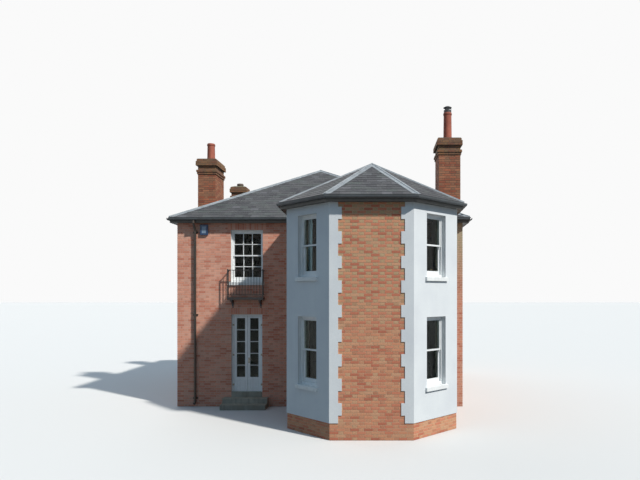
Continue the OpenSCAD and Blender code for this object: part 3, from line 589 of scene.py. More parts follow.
def copies(name, shape, places, finish, body="house", marks=None):
    """One piece of copies of a shape: places are 4 x 4 matrices, and marks give each copy its values."""
    corners, faces = shape
    places = np.asarray(places)
    spots = np.einsum("mij,nj->mni", places[:, :3, :3], corners) + places[:, None, :3, 3]
    turned = np.linalg.det(places[:, :3, :3]) < 0
    numbers = faces[None] + (np.arange(len(places)) * len(corners))[:, None, None]
    numbers[turned] = numbers[turned][:, :, ::-1]
    mesh = bpy.data.meshes.new(name)
    mesh.from_pydata(spots.reshape(-1, 3).tolist(), [], numbers.reshape(-1, faces.shape[1]).tolist())
    for mark, values in (marks or {}).items():
        layer = mesh.attributes.new(mark, "FLOAT", "POINT")
        layer.data.foreach_set("value", np.repeat(np.asarray(values, np.float32), len(corners)))
    mesh.materials.append(finish)
    piece = bpy.data.objects.new(name, mesh)
    bpy.context.scene.collection.objects.link(piece)
    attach(piece, body)
    print(f"{name}: {len(places)} copies, {len(places) * len(faces) * 2} triangles")
    return piece


print("helpers for starts and copies ready")

# %% One brick
COURSE, BED = 0.075, 0.010
STRETCHER, HEADER, CLOSER = 0.215, 0.1025, 0.04625
FACE_H = COURSE - BED
PROUD, ARRIS = 0.005, 0.004
brick_piece = block("brick", (0, -PROUD, 0), (STRETCHER, 0.001, FACE_H))
with editing(brick_piece):
    # the outer face is a little smaller than the brick, so its arrises look worn
    pick_faces(brick_piece, lambda middle, normal: normal.y < -0.9)
    bpy.ops.transform.resize(value=((STRETCHER - ARRIS) / STRETCHER, 1, (FACE_H - ARRIS) / FACE_H))
brick = pattern(brick_piece)
print("a stretcher is", STRETCHER, "m long and", FACE_H, "m high")


# %% Setting out a course
# A brick shorter than a sliver goes to the one beside it, and lesser runs, courses and chips aren't laid
SLIVER, LEAST_RUN, LEAST_CHIP, TOUCH = 0.05, 0.02, 0.012, 0.002


def bond(course, length):
    """The bricks of one course in Flemish bond, from the corner: start, end and whether it is a header."""
    laid, u = [], 0.0
    if course % 2:
        laid = [(0.0, HEADER, 1.0), (HEADER + BED, HEADER + BED + CLOSER, 0.0)]
        u = HEADER + CLOSER + 2 * BED
    head = False
    while u < length:
        width = HEADER if head else STRETCHER
        laid.append((u, u + width, float(head)))
        u += width + BED
        head = not head
    return laid


def free_runs(length, blocked):
    """What is left of a course between the openings that stop it."""
    runs, u = [], 0.0
    for low, high in sorted(blocked) + [(length, length)]:
        if low > u + LEAST_RUN:
            runs.append((u, low))
        u = max(u, high)
    return runs


def clipped(laid, low, high):
    """The bricks between low and high; a sliver at an end goes to the brick beside it."""
    kept = [[max(a, low), min(b, high), head]
            for a, b, head in laid if b > low + TOUCH and a < high - TOUCH]
    if len(kept) > 1 and kept[0][1] - kept[0][0] < SLIVER:
        kept[1][0] = kept[0][0]
        kept.pop(0)
    if len(kept) > 1 and kept[-1][1] - kept[-1][0] < SLIVER:
        kept[-2][1] = kept[-1][1]
        kept.pop()
    return kept


print("a course is laid as", [(round(a, 3), round(b, 3)) for a, b, head in bond(1, 0.6)])


# %% Setting out a wall
# How far a brick stands in or out by chance, and how far the bricks go round an outer corner
JOG, CORNER_OUT = 0.0008, 0.0035


def cut_brick(part, gap):
    """What is left of a brick's face outside a gap that covers only some of its height."""
    u0, u1, z0, z1 = part
    if gap.u1 <= u0 + TOUCH or gap.u0 >= u1 - TOUCH or gap.z1 <= z0 or gap.z0 >= z1:
        return [part]
    left, right = max(u0, gap.u0), min(u1, gap.u1)
    kept = [(u0, left, z0, z1), (right, u1, z0, z1), (left, right, z0, min(z1, gap.z0)),
            (left, right, max(z0, gap.z1), z1)]
    return [(a, b, c, d) for a, b, c, d in kept if b - a > LEAST_CHIP and d - c > LEAST_CHIP]


def lay_wall(side, top, gaps, base=0.0, beyond=(CORNER_OUT, CORNER_OUT)):
    """Places and marks of a side's bricks, cut round its openings, in courses counted up from base.

    At an outer corner the bricks go a little beyond the wall's edge, to meet those of the next side."""
    places, tones, heads = [], [], []
    for course in range(math.ceil((top - base) / COURSE - 0.01)):
        z0 = base + course * COURSE
        z1 = min(z0 + FACE_H, top)
        if z1 - z0 < LEAST_RUN:
            continue
        stops, parts = [], []
        for gap in gaps:
            low, high = max(gap.z0, z0), min(gap.z1, z1)
            if high - low > 0.8 * (z1 - z0):
                stops.append((gap.u0, gap.u1))
            elif high - low > 0.004:
                parts.append(gap)
        for low, high in free_runs(side.length, stops):
            low -= beyond[0] if low == 0 else 0
            high += beyond[1] if high == side.length else 0
            for a, b, head in clipped(bond(course, side.length + 0.3), low, high):
                if b - a < LEAST_CHIP:
                    continue
                tone = dice.random()
                pieces = [(a, b, z0, z1)]
                for gap in parts:
                    pieces = [kept for p in pieces for kept in cut_brick(p, gap)]
                for u0, u1, low_z, high_z in pieces:
                    jog = dice.uniform(-JOG, JOG)
                    places.append(place_in(side.matrix, u0, jog, low_z,
                                           su=(u1 - u0) / STRETCHER, sz=(high_z - low_z) / FACE_H))
                    tones.append(tone)
                    heads.append(head)
    return places, tones, heads


corner_cut = cut_brick((0, STRETCHER, 0, FACE_H), Opening(STRETCHER / 2, 1, -1, FACE_H / 2))
print("a stretcher with a corner cut out is laid as", len(corner_cut), "pieces")

# %% [markdown]
# Brick colours
#
# The wing's bricks are orange and sandy, with greyer headers that make a chequer high up. The main
# block's are pinker. A pattern could draw the colours on one flat wall, but it would run through the
# joints. So each brick's own tone is an attribute of its copy, and the material turns that into a colour,
# then adds pits and soot.

# %% Moss and damp
def ramp(tree, value, *stops):
    """Turns a value into a colour; a stop is a value and its colour."""
    made = node(tree, "ValToRGB", {0: value})
    line = made.color_ramp.elements
    line[0].position, line[0].color = stops[0]
    line[-1].position, line[-1].color = stops[-1]
    for place, shade in stops[1:-1]:
        line.new(place).color = shade
    return made.outputs[0]


BLOOM_X, BLOOM_Y, BLOOM_Z = (3.9, 4.1), (-1.9, -1.4), (3.2, 5.2)


def mossy_cap(tree, base, marks):
    """Moss and soot on the courses of a chimney's cap."""
    cap = node(tree, "Attribute", attribute_name="cap").outputs["Fac"]
    moss = blend_colour(tree, marks["Patches"], colour(98, 92, 56), colour(78, 60, 50))
    return stain(tree, base, cap, spread(tree, marks["Fine"], 0, 1, 0.35, 0.8), moss)


def damp_bloom(tree, base, place, marks):
    """Damp and an olive bloom at the right-hand end of the front, paler high up, where the gutters meet."""
    spot = node(tree, "SeparateXYZ", {0: place}).outputs
    right_end = spread(tree, spot[0], *BLOOM_X)
    high_up = spread(tree, spot[2], *BLOOM_Z, 0.2, 1.0)
    front_only = spread(tree, spot[1], *BLOOM_Y, 1, 0)
    bloom = sums(tree, "MULTIPLY", sums(tree, "MULTIPLY", right_end, high_up), front_only)
    shade = blend_colour(tree, high_up, colour(88, 78, 60), colour(160, 164, 136))
    return stain(tree, base, bloom, spread(tree, marks["Fine"], 0, 1, 0.6, 1.0), shade)


print("damp from x =", BLOOM_X[0], "and from", BLOOM_Z[0], "m up")


# %% Brick finishes
def brick_finish(name, shades, head_shade, head_share, soot, soot_share, chequer_from=None, lichen=False,
                 mossy=False):
    """Bricks in shades from low to high tone, with headers that lean to a shade of their own."""
    made, tree, surface = new_material(name)
    place, marks = weather(tree, 60)
    tone = node(tree, "Attribute", attribute_name="tone").outputs["Fac"]
    header = node(tree, "Attribute", attribute_name="header").outputs["Fac"]
    steps = [(i / (len(shades) - 1), shade) for i, shade in enumerate(shades)]
    base = ramp(tree, tone, *steps)
    share = sums(tree, "MULTIPLY", header, head_share)
    if chequer_from is not None:
        height = node(tree, "SeparateXYZ", {0: place}).outputs[2]
        strong = spread(tree, height, chequer_from - 1, chequer_from + 0.5, 0.3, 1)
        share = sums(tree, "MULTIPLY", share, strong)
    base = blend_colour(tree, share, base, head_shade)
    base = stain(tree, base, marks["Fine"], 0.3, soot)
    base = stain(tree, base, marks["Patches"], soot_share, soot)
    if mossy:
        base = mossy_cap(tree, base, marks)
    if lichen:
        base = damp_bloom(tree, base, place, marks)
    coat(tree, surface, base, marks["Fine"], (0.75, 0.95), 0.5, 0.004)
    return made


wing_brick = brick_finish(
    "wing_brick",
    [colour(186, 106, 81), colour(205, 124, 95), colour(214, 139, 108), colour(217, 151, 114),
     colour(211, 161, 126)],
    colour(184, 170, 130), 0.72, colour(139, 106, 83), 0.12, chequer_from=3.4)
main_brick = brick_finish(
    "main_brick",
    [colour(203, 126, 103), colour(219, 147, 122), colour(229, 161, 135), colour(235, 174, 149),
     colour(224, 172, 149)],
    colour(211, 159, 137), 0.5, colour(159, 112, 95), 0.14, lichen=True)
stack_brick = brick_finish(
    "stack_brick",
    [colour(139, 75, 54), colour(168, 93, 64), colour(186, 110, 77), colour(184, 120, 87),
     colour(159, 112, 83)],
    colour(143, 103, 77), 0.5, colour(89, 66, 52), 0.3, mossy=True)
print("three brick finishes")

# %% [markdown]
# Laying the walls
#
# The bricks of a wall stop at its windows, its sills and the stucco, and over each window a flat arch of
# bricks stands on end. Bricks could be cut from the wall afterwards, but it is quicker to lay none where
# they don't show. So each side is laid with its gaps known, and then its arches get their own row.

# %% Brick walls
WALL_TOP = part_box("soffits")[0].z - 0.002
STUCCO_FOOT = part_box("left_facet_stucco")[0].z
UNDER_STUCCO = 0.2
ARCH_H, ARCH_BEARING = 0.205, 0.1
WING_SIDES = ("wing_left", "left_facet", "wing_front", "right_facet", "wing_right")
# The sides that meet the next one at an inner corner, at their left and right end
INNER_CORNERS = {"front": (0, 1), "wing_left": (1, 0), "wing_right": (0, 1), "front_end": (1, 0)}
brick_count = 0
for name, side in SIDES.items():
    gaps = list(openings[name])
    top = STUCCO_FOOT - 0.002 if name.endswith("facet") else WALL_TOP
    if name in ("wing_left", "wing_front"):
        gaps.append(Opening(side.length - UNDER_STUCCO, side.length + 1, STUCCO_FOOT + 0.01, 9))
    if name in ("wing_right", "wing_front"):
        gaps.append(Opening(-1, UNDER_STUCCO, STUCCO_FOOT + 0.01, 9))
    arches = [Opening(g.u0 - ARCH_BEARING, g.u1 + ARCH_BEARING, g.z1, min(g.z1 + ARCH_H + BED, top + 1))
              for g in openings[name] if g.arched and not name.endswith("facet")]
    ends = [0 if inner else CORNER_OUT for inner in INNER_CORNERS.get(name, (0, 0))]
    places, tones, heads = lay_wall(side, top, gaps + arches, beyond=ends)
    for arch in arches:
        count = round((arch.u1 - arch.u0) / COURSE)
        step = (arch.u1 - arch.u0) / count
        height = min(ARCH_H, top - arch.z0 - BED / 2)
        for k in range(count):
            places.append(place_in(side.matrix, arch.u0 + k * step + BED / 2, dice.uniform(-JOG, 0),
                                   arch.z0 + BED / 2, su=(step - BED) / STRETCHER, sz=height / FACE_H))
            tones.append(dice.random())
            heads.append(0.0)
    finish, slot = (wing_brick, "wing_brick") if name in WING_SIDES else (main_brick, "brick")
    copies(name + "_bricks", brick, places, finish, marks={"tone": tones, "header": heads})
    brick_count += len(places)
print(brick_count, "bricks in the walls")

# %% [markdown]
# Mortar, reveals and rooms
#
# Behind the bricks the CAD walls are solid, and each shows three finishes: mortar in the joints of the
# outer face, white paint in the reveals beside a window, and plaster from the back of the frames inward.
# Faces could be picked for each by hand. But depth tells them apart, so one material finishes a wall by
# the distance from its outer face, measured along its normal.

# %% Wall finishes
FRAME_DEPTH = 0.245
# The rooms' plaster is a darker grey than plaster is, so that the rooms read dark behind the glass: painted
# shade.
ROOM_PLASTER_WITH_PAINTED_SHADE = colour(162, 156, 144), colour(148, 142, 130)


def wall_finish(name, side, mortar, brick_shade):
    """The finish of one wall: mortar, then painted reveals, then a plastered room, greyed as painted shade.
    """
    made, tree, surface = new_material(name)
    place, marks = weather(tree, 60)
    away = node(tree, "VectorMath", {0: place, 1: tuple(side.inward)}, operation="DOT_PRODUCT")
    depth = sums(tree, "SUBTRACT", away.outputs["Value"], side.inward.dot(side.start))
    reveal = blend_colour(tree, marks["Patches"], colour(232, 235, 236), colour(221, 225, 226))
    reveal = stain(tree, reveal, marks["Streaks"], 0.1, colour(150, 148, 138))
    face = stain(tree, mortar, marks["Fine"], 0.4, brick_shade)
    base = blend_colour(tree, spread(tree, depth, 0.0015, 0.0025), face, reveal)
    room = blend_colour(tree, marks["Patches"], *ROOM_PLASTER_WITH_PAINTED_SHADE)
    base = blend_colour(tree, spread(tree, depth, FRAME_DEPTH, FRAME_DEPTH + 0.002), base, room)
    coat(tree, surface, base, marks["Fine"], (0.8, 0.95), 0.5, 0.004)
    return made


# The colour of the mortar, and of the brick dust on it
WING_JOINTS = colour(200, 181, 150), colour(196, 130, 97)
MAIN_JOINTS = colour(216, 192, 173), colour(210, 142, 117)
WALLS_OF = {
    "front": ["front_wall_left_of_door", "front_wall_right_of_door", "front_wall_over_door",
              "front_wall_right_end"],
    "wing_left": ["wing_left_wall"], "left_facet": ["wing_left_facet"], "wing_front": ["wing_front_facet"],
    "right_facet": ["wing_right_facet"], "wing_right": ["wing_right_wall"], "right": ["right_wall"],
    "back": ["back_wall"], "left": ["left_wall"],
}
for name, nodes in WALLS_OF.items():
    joints = WING_JOINTS if name in WING_SIDES else MAIN_JOINTS
    dress(wall_finish("wall_" + name, SIDES[name], *joints), *nodes)
print("walls finished by depth")

# %% [markdown]
# Floors
#
# The ground floor is stone flags and the first floor has boards, with a plastered ceiling under it. The
# gaps could be modelled, but they are hardly seen through the windows, so the material draws them. One
# recipe does for both floors. Which finish a face gets follows from the way it looks, so its normal picks
# it.

# %% Floor finishes
def floor_surface(name, upper, lines, gap_shade, pitch):
    """Boards or flags of two shades, that many metres wide, with a plastered ceiling below."""
    made, tree, surface = new_material(name)
    place, marks = weather(tree, 40)
    parts = node(tree, "SeparateXYZ", {0: place}).outputs
    across = sums(tree, "DIVIDE", parts[0], pitch)
    gap = spread(tree, sums(tree, "FRACT", across), 0.0, lines, 1, 0)
    tone = node(tree, "TexWhiteNoise", {"W": sums(tree, "FLOOR", across)}, noise_dimensions="1D")
    top = blend_colour(tree, tone.outputs["Value"], *upper)
    top = stain(tree, top, marks["Fine"], 0.3, gap_shade)
    top = stain(tree, top, gap, 0.8, gap_shade)
    up = node(tree, "SeparateXYZ", {0: node(tree, "NewGeometry").outputs["Normal"]}).outputs[2]
    ceiling = blend_colour(tree, marks["Patches"], colour(208, 204, 196), colour(196, 192, 184))
    base = blend_colour(tree, spread(tree, up, 0.4, 0.6), ceiling, top)
    coat(tree, surface, base, marks["Fine"], (0.5, 0.8), 0.3, 0.003)
    return made


dress(floor_surface("floor_boards", (colour(128, 92, 60), colour(150, 112, 74)), 0.03,
                    colour(48, 34, 24), 0.16), "first_floor")
dress(floor_surface("stone_floor", (colour(150, 146, 136), colour(128, 124, 114)), 0.02,
                    colour(72, 68, 60), 0.6), "ground_floor")
print("floors finished")

# %% [markdown]
# Slates
#
# Each slate lies over the heads of the two below it, so its tail is lifted by a slate's thickness, and
# that edge is what shows. A bump could hint at it, but not at the edge of the roof. So one slate is
# modelled and laid in rows up each slope, with its joints half a slate along from the row below. The
# field is then cut along the hips and valleys with the bisect tool, as a slater trims it.

# %% Roof slopes
EAVES_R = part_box("main_roof")[1].x - house_right
EAVES_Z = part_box("fascias")[1].z + 0.025
MAIN_TOP, WING_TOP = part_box("main_roof")[1].z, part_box("wing_roof")[1].z
main_point = Vector((house_left + (house_back - house_front) / 2, (house_front + house_back) / 2))
wing_point = Vector(((wing_left + wing_right) / 2, wing_front + (wing_right - wing_left) / 2))
print("slates start", round(EAVES_R, 3), "m out from the walls, at", round(EAVES_Z, 3), "m up")


class Slope:
    """A roof plane: u along the eaves, v up the slope and w out of it.

    They start at the eaves, under the roof's point."""

    def __init__(self, point, fall, run, top):
        self.point, self.top = point, top
        self.fall = Vector(fall).normalized()
        self.run = run + EAVES_R
        rise = top - EAVES_Z
        self.length = math.hypot(self.run, rise)
        up = Vector((-self.fall.x * self.run, -self.fall.y * self.run, rise)) / self.length
        along = Vector((-self.fall.y, self.fall.x, 0))
        foot = point + self.fall * self.run
        self.matrix = matrix_of(along, up, along.cross(up), (foot.x, foot.y, EAVES_Z))
        self.drop = rise / self.run

    def height(self, x, y):
        """Height of the plane over a place."""
        return self.top - self.drop * (Vector((x, y)) - self.point).dot(self.fall)


# %% The nine slopes
FACET_RUN = abs((wing_point - Vector((wing_left, wing_side_front))).dot(Vector((1, 1)).normalized()))
SLOPES = {
    "main_front": Slope(main_point, (0, -1), main_point.y - house_front, MAIN_TOP),
    "main_right": Slope(main_point, (1, 0), house_right - main_point.x, MAIN_TOP),
    "main_back": Slope(main_point, (0, 1), house_back - main_point.y, MAIN_TOP),
    "main_left": Slope(main_point, (-1, 0), main_point.x - house_left, MAIN_TOP),
    "wing_left": Slope(wing_point, (-1, 0), wing_point.x - wing_left, WING_TOP),
    "wing_left_facet": Slope(wing_point, (-1, -1), FACET_RUN, WING_TOP),
    "wing_front": Slope(wing_point, (0, -1), wing_point.y - wing_front, WING_TOP),
    "wing_right_facet": Slope(wing_point, (1, -1), FACET_RUN, WING_TOP),
    "wing_right": Slope(wing_point, (1, 0), wing_right - wing_point.x, WING_TOP),
}


def slope_at(x, y):
    """The roof plane that shows over a place: the lowest of each roof's planes, then the higher roof."""
    shown = [min((s for n, s in SLOPES.items() if n.startswith(roof)), key=lambda s: s.height(x, y))
             for roof in ("main", "wing")]
    return max(shown, key=lambda s: s.height(x, y))


def roof_height(x, y):
    """Height of the slates over a place."""
    return slope_at(x, y).height(x, y)


for name, slope in SLOPES.items():
    print(f"{name:16s} {slope.length:.2f} m long, {math.degrees(math.atan(slope.drop)):.1f} degrees steep")

# %% Corners of the slate fields
# EL and ER are the front corners of the main roof's eaves, BL and BR the back ones. The wing's eaves start
# at VL and VR, and turn at CL and CR, FL and FR, round the canted faces.
r = EAVES_R
lean = r * math.tan(math.pi / 8)
EL, ER = Vector((house_left - r, house_front - r)), Vector((house_right + r, house_front - r))
BL, BR = Vector((house_left - r, house_back + r)), Vector((house_right + r, house_back + r))
VL, VR = Vector((wing_left - r, house_front - r)), Vector((wing_right + r, house_front - r))
CL, CR = Vector((wing_left - r, wing_side_front - lean)), Vector((wing_right + r, wing_side_front - lean))
FL, FR = Vector((facet_left - lean, wing_front - r)), Vector((facet_right + lean, wing_front - r))
# The wing's ridge runs into the main front slope at meet, and the line straight up from there ends at crest
meet = Vector((wing_point.x, main_point.y - (MAIN_TOP - WING_TOP) / SLOPES["main_front"].drop))
hip_share = (wing_point.x - main_point.x) / (ER.x - main_point.x)
crest = Vector((wing_point.x, main_point.y + hip_share * (ER.y - main_point.y)))
HIP_CUT, VALLEY_CUT, RIDGE_CUT = 0.06, 0.05, 0.05
# Each field has its edges, anticlockwise from above, with how far inside an edge its slates are cut, or
# None at the eaves
FIELDS = [
    ("main_front", [(EL, VL, None), (VL, meet, VALLEY_CUT), (meet, crest, 0), (crest, main_point, HIP_CUT),
                    (main_point, EL, HIP_CUT)]),
    ("main_front", [(meet, VR, VALLEY_CUT), (VR, ER, None), (ER, crest, HIP_CUT), (crest, meet, 0)]),
    ("main_right", [(ER, BR, None), (BR, main_point, HIP_CUT), (main_point, ER, HIP_CUT)]),
    ("main_back", [(BR, BL, None), (BL, main_point, HIP_CUT), (main_point, BR, HIP_CUT)]),
    ("main_left", [(BL, EL, None), (EL, main_point, HIP_CUT), (main_point, BL, HIP_CUT)]),
    ("wing_left", [(VL, CL, None), (CL, wing_point, HIP_CUT), (wing_point, meet, RIDGE_CUT),
                   (meet, VL, VALLEY_CUT)]),
    ("wing_left_facet", [(CL, FL, None), (FL, wing_point, HIP_CUT), (wing_point, CL, HIP_CUT)]),
    ("wing_front", [(FL, FR, None), (FR, wing_point, HIP_CUT), (wing_point, FL, HIP_CUT)]),
    ("wing_right_facet", [(FR, CR, None), (CR, wing_point, HIP_CUT), (wing_point, FR, HIP_CUT)]),
    ("wing_right", [(CR, VR, None), (VR, meet, VALLEY_CUT), (meet, wing_point, RIDGE_CUT),
                    (wing_point, CR, HIP_CUT)]),
]
print(len(FIELDS), "fields of slates; the wing's ridge ends at y =", round(meet.y, 3))

# %% One slate
SLATE_W, SLATE_GAP, MARGIN = 0.254, 0.004, 0.205
SLATE_LAP, SLATE_THICK, TAIL_LIFT = 0.045, 0.006, 0.0042
OVERHANG = 0.04
slate_piece = block("slate", (0, 0, TAIL_LIFT),
                    (SLATE_W - SLATE_GAP, MARGIN + SLATE_LAP, TAIL_LIFT + SLATE_THICK))
with editing(slate_piece):
    # the head lies lower than the tail
    pick_faces(slate_piece, lambda middle, normal: normal.y > 0.9)
    bpy.ops.transform.translate(value=(0, 0, -SLATE_THICK * (1 + SLATE_LAP / MARGIN)))
slate = pattern(slate_piece)
print("a slate is", round(SLATE_W - SLATE_GAP, 3), "m wide and shows", MARGIN, "m of its length")

# %% [markdown]
# Finish of the slates
#
# Welsh slates are near in colour, but never the same: some are bluer, some greener. Each slate's tone, an
# attribute of its copy, picks its grey from a ramp. Rain streaks and spots of lichen then lie over whole
# fields of them, because they follow the roof and not the slate.

# %% Slate finish
slate_grey, tree, surface = new_material("slate")
place, marks = weather(tree, 45)
tone = node(tree, "Attribute", attribute_name="tone").outputs["Fac"]
base = ramp(tree, tone, (0, colour(56, 56, 62)), (0.3, colour(68, 69, 74)), (0.6, colour(78, 78, 82)),
            (0.85, colour(72, 78, 78)), (1, colour(93, 93, 99)))
base = stain(tree, base, marks["Streaks"], 0.3, colour(56, 58, 59))
base = stain(tree, base, marks["Patches"], 0.25, colour(87, 91, 89))
spots = node(tree, "TexNoise", {"Vector": place, "Scale": 22.0, "Detail": 4.0}).outputs[0]
base = blend_colour(tree, spread(tree, spots, 0.66, 0.7, 0, 0.7), base, colour(126, 129, 119))
surface.inputs["Specular IOR Level"].default_value = 0.2
coat(tree, surface, base, marks["Fine"], (0.55, 0.8), 0.4, 0.003)
print("slate finish ready")

# %% Boards under the slates
roof_deck, tree, surface = new_material("roof_deck")
place, marks = weather(tree, 45)
up = node(tree, "SeparateXYZ", {0: node(tree, "NewGeometry").outputs["Normal"]}).outputs[2]
base = blend_colour(tree, marks["Fine"], colour(76, 78, 82), colour(58, 60, 62))
boards = blend_colour(tree, marks["Streaks"], colour(120, 92, 64), colour(84, 62, 42))
base = blend_colour(tree, spread(tree, up, -0.1, -0.3), base, boards)
tree.links.new(base, surface.inputs["Base Color"])
surface.inputs["Roughness"].default_value = 0.85
roughen(tree, surface, marks["Fine"], 0.3, 0.003)
dress(roof_deck, "main_roof", "wing_roof")
print("roof shells finished, grey above and boards below")

# %% Laying and trimming the slates
STRAY, LIFT, TURN = 0.32, 0.0015, 0.004


def lay_slates(number, slope_name, edges):
    """Lays one field up to STRAY outside its edges, each slate lifted and turned a little, and trims it."""
    slope = SLOPES[slope_name]
    along = Vector((-slope.fall.y, slope.fall.x))
    reach = max(abs((corner - slope.point).dot(along)) for corner, _, _ in edges) + 0.3
    rows = math.ceil((slope.length + OVERHANG) / MARGIN)
    columns = math.ceil(reach / SLATE_W) + 1
    places, tones = [], []
    for row in range(rows):
        for column in range(-columns, columns):
            u = (column + 0.5 * (row % 2)) * SLATE_W
            v = row * MARGIN - OVERHANG
            draw = random.Random(f"{slope_name} {row} {column}")
            tone, lift, turn = draw.random(), draw.uniform(0, LIFT), draw.uniform(-TURN, TURN)
            here = Vector(point_in(slope.matrix, u + SLATE_W / 2, v + MARGIN / 2, 0)[:2])
            if any(cut is not None and (here - a).cross(b - a) > STRAY * (b - a).length
                   for a, b, cut in edges):
                continue
            made = place_in(slope.matrix, u, v, lift)
            made[:3, 0] += turn * made[:3, 1]
            places.append(made)
            tones.append(tone)
    field = copies(f"slates_{number:02d}_{slope_name}", slate, places, slate_grey,
                   marks={"tone": tones})
    with editing(field):
        for a, b, cut in edges:
            if cut is not None:
                outward = Vector((b.y - a.y, a.x - b.x, 0)).normalized()
                bpy.ops.mesh.select_all(action="SELECT")
                bpy.ops.mesh.bisect(plane_co=a.to_3d() - outward * cut, plane_no=outward, use_fill=True,
                                    clear_outer=True)
    return len(field.data.polygons)


slate_faces = [lay_slates(number, *field) for number, field in enumerate(FIELDS)]
print(sum(slate_faces), "faces of slates after trimming")

# %% [markdown]
# Chimneys
#
# The chimneys' brickwork is sooty, and their caps oversail in steps. The steps could be one block, scaled
# up, but its bricks would grow too. So each stack is clad as the walls are, one band of courses at a
# time, and each band of the cap stands out by its own amount. Bricks that would lie under the slates are
# left out.

# %% Stacks
CAP_OUT, FLAUNCHING_H = 0.062, 0.07
# From the top: number of courses, and the share of the cap's overhang by which they stand out
CAP_BANDS = [(1, 0.55), (2, 1.0), (2, 0.0), (1, 0.75), (1, 0.4)]
stacks = {}
for name in ("right_chimney", "left_chimney", "rear_chimney"):
    low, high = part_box(name)
    stacks[name] = (low.x + CAP_OUT, low.y + CAP_OUT, high.x - CAP_OUT, high.y - CAP_OUT,
                    high.z - FLAUNCHING_H)
    print(name, "stands at", [round(v, 3) for v in stacks[name]])


def faces_round(x0, y0, x1, y1, grow):
    """The four upright faces of a stack, grown by that much."""
    ring = [(x0 - grow, y0 - grow), (x1 + grow, y0 - grow), (x1 + grow, y1 + grow), (x0 - grow, y1 + grow)]
    return [Side("stack", ring[i], ring[(i + 1) % 4]) for i in range(4)]


for name, (x0, y0, x1, y1, top) in stacks.items():
    lowest = min(roof_height(x, y) for x in (x0, x1) for y in (y0, y1))
    bands, z = [], top
    for count, share in CAP_BANDS:
        bands.append((z - count * COURSE, z, share * CAP_OUT))
        z -= count * COURSE
    # the shaft's courses start at the first joint under the lowest corner
    shaft_base = z - math.ceil((z - lowest) / COURSE) * COURSE
    bands.append((shaft_base, z, 0.0))
    laid = []
    for low_z, high_z, grow in bands:
        for side in faces_round(x0, y0, x1, y1, grow):
            for put, tone, head in zip(*lay_wall(side, high_z, [], base=low_z)):
                if put[2, 3] + FACE_H > roof_height(put[0, 3], put[1, 3]):
                    laid.append((put, tone, head, float(low_z > shaft_base)))
    places, tones, heads, caps = zip(*laid)
    copies(name + "_bricks", brick, places, stack_brick,
           marks={"tone": tones, "header": heads, "cap": caps})

# %% [markdown]
# Behind the bricks of the stacks
#
# The CAD solids of the stacks show as mortar in the joints, as the sloping cement on top, where moss
# grows, and as the plastered chimney breasts indoors. The way a face looks and its height tell the three
# apart, so again one material does it all.

# %% Finish of the stacks' solids
stack_mortar, tree, surface = new_material("stack_mortar")
place, marks = weather(tree, 50)
height = node(tree, "SeparateXYZ", {0: place}).outputs[2]
up = node(tree, "SeparateXYZ", {0: node(tree, "NewGeometry").outputs["Normal"]}).outputs[2]
base = blend_colour(tree, marks["Fine"], colour(128, 114, 98), colour(92, 80, 70))
moss = blend_colour(tree, marks["Patches"], colour(96, 96, 66), colour(122, 112, 98))
base = blend_colour(tree, spread(tree, up, 0.3, 0.6), base, moss)
# The chimney breasts take the rooms' plaster, with its painted shade.
room = blend_colour(tree, marks["Patches"], *ROOM_PLASTER_WITH_PAINTED_SHADE)
base = blend_colour(tree, spread(tree, height, WALL_TOP, WALL_TOP + 0.01), room, base)
tree.links.new(base, surface.inputs["Base Color"])
surface.inputs["Roughness"].default_value = 0.9
roughen(tree, surface, marks["Fine"], 0.5, 0.004)
dress(stack_mortar, *stacks)
print("mortar on", len(stacks), "stacks")

# %% [markdown]
# Leadwork
#
# Where a stack comes through the slates, lead keeps the rain out: an apron over the slates in front, a
# strip beside it down each side, and stepped flashings let into the joints of the bricks. Each piece
# could be drawn by hand for each stack. But a sheet of lead is a thin block, whatever its size, so one is
# modelled, and the script walks round each stack and works out where the slates and the joints are.

# %% One sheet of lead
LEAD_THICK, LEAD_LIFT, LEAD_OVERLAP = 0.003, 0.0125, 0.03
lead_piece = block("lead_strip", (0, 0, 0), (1, 1, 1))
with editing(lead_piece):
    # the edges lean in, as if dressed down with a mallet
    pick_faces(lead_piece, lambda middle, normal: normal.z > 0.9)
    bpy.ops.transform.resize(value=(0.998, 0.998, 1))
lead_strip = pattern(lead_piece)
print("sheets of lead are", LEAD_THICK * 1000, "mm thick")


# %% Lead round the stacks
APRON, NARROW, UPSTAND = 0.15, 0.05, 0.065
STEP_LOOK, JUST_OUTSIDE = 0.01, 0.005


def lead_patch(slope, start, run, out):
    """A flat piece of lead on a slope, from a place along run and out, which are given in plan."""
    spots = [start, start + run, start + out]
    a, b, c = (np.array([p.x, p.y, slope.height(p.x, p.y)]) for p in spots)
    return matrix_of(b - a, c - a, slope.matrix[:3, 2] * LEAD_THICK, a + slope.matrix[:3, 2] * LEAD_LIFT)


def runs_of(values):
    """First and last number of each run of equal values."""
    cuts = [0] + [k for k in range(1, len(values)) if values[k] != values[k - 1]] + [len(values)]
    return list(zip(cuts, cuts[1:]))


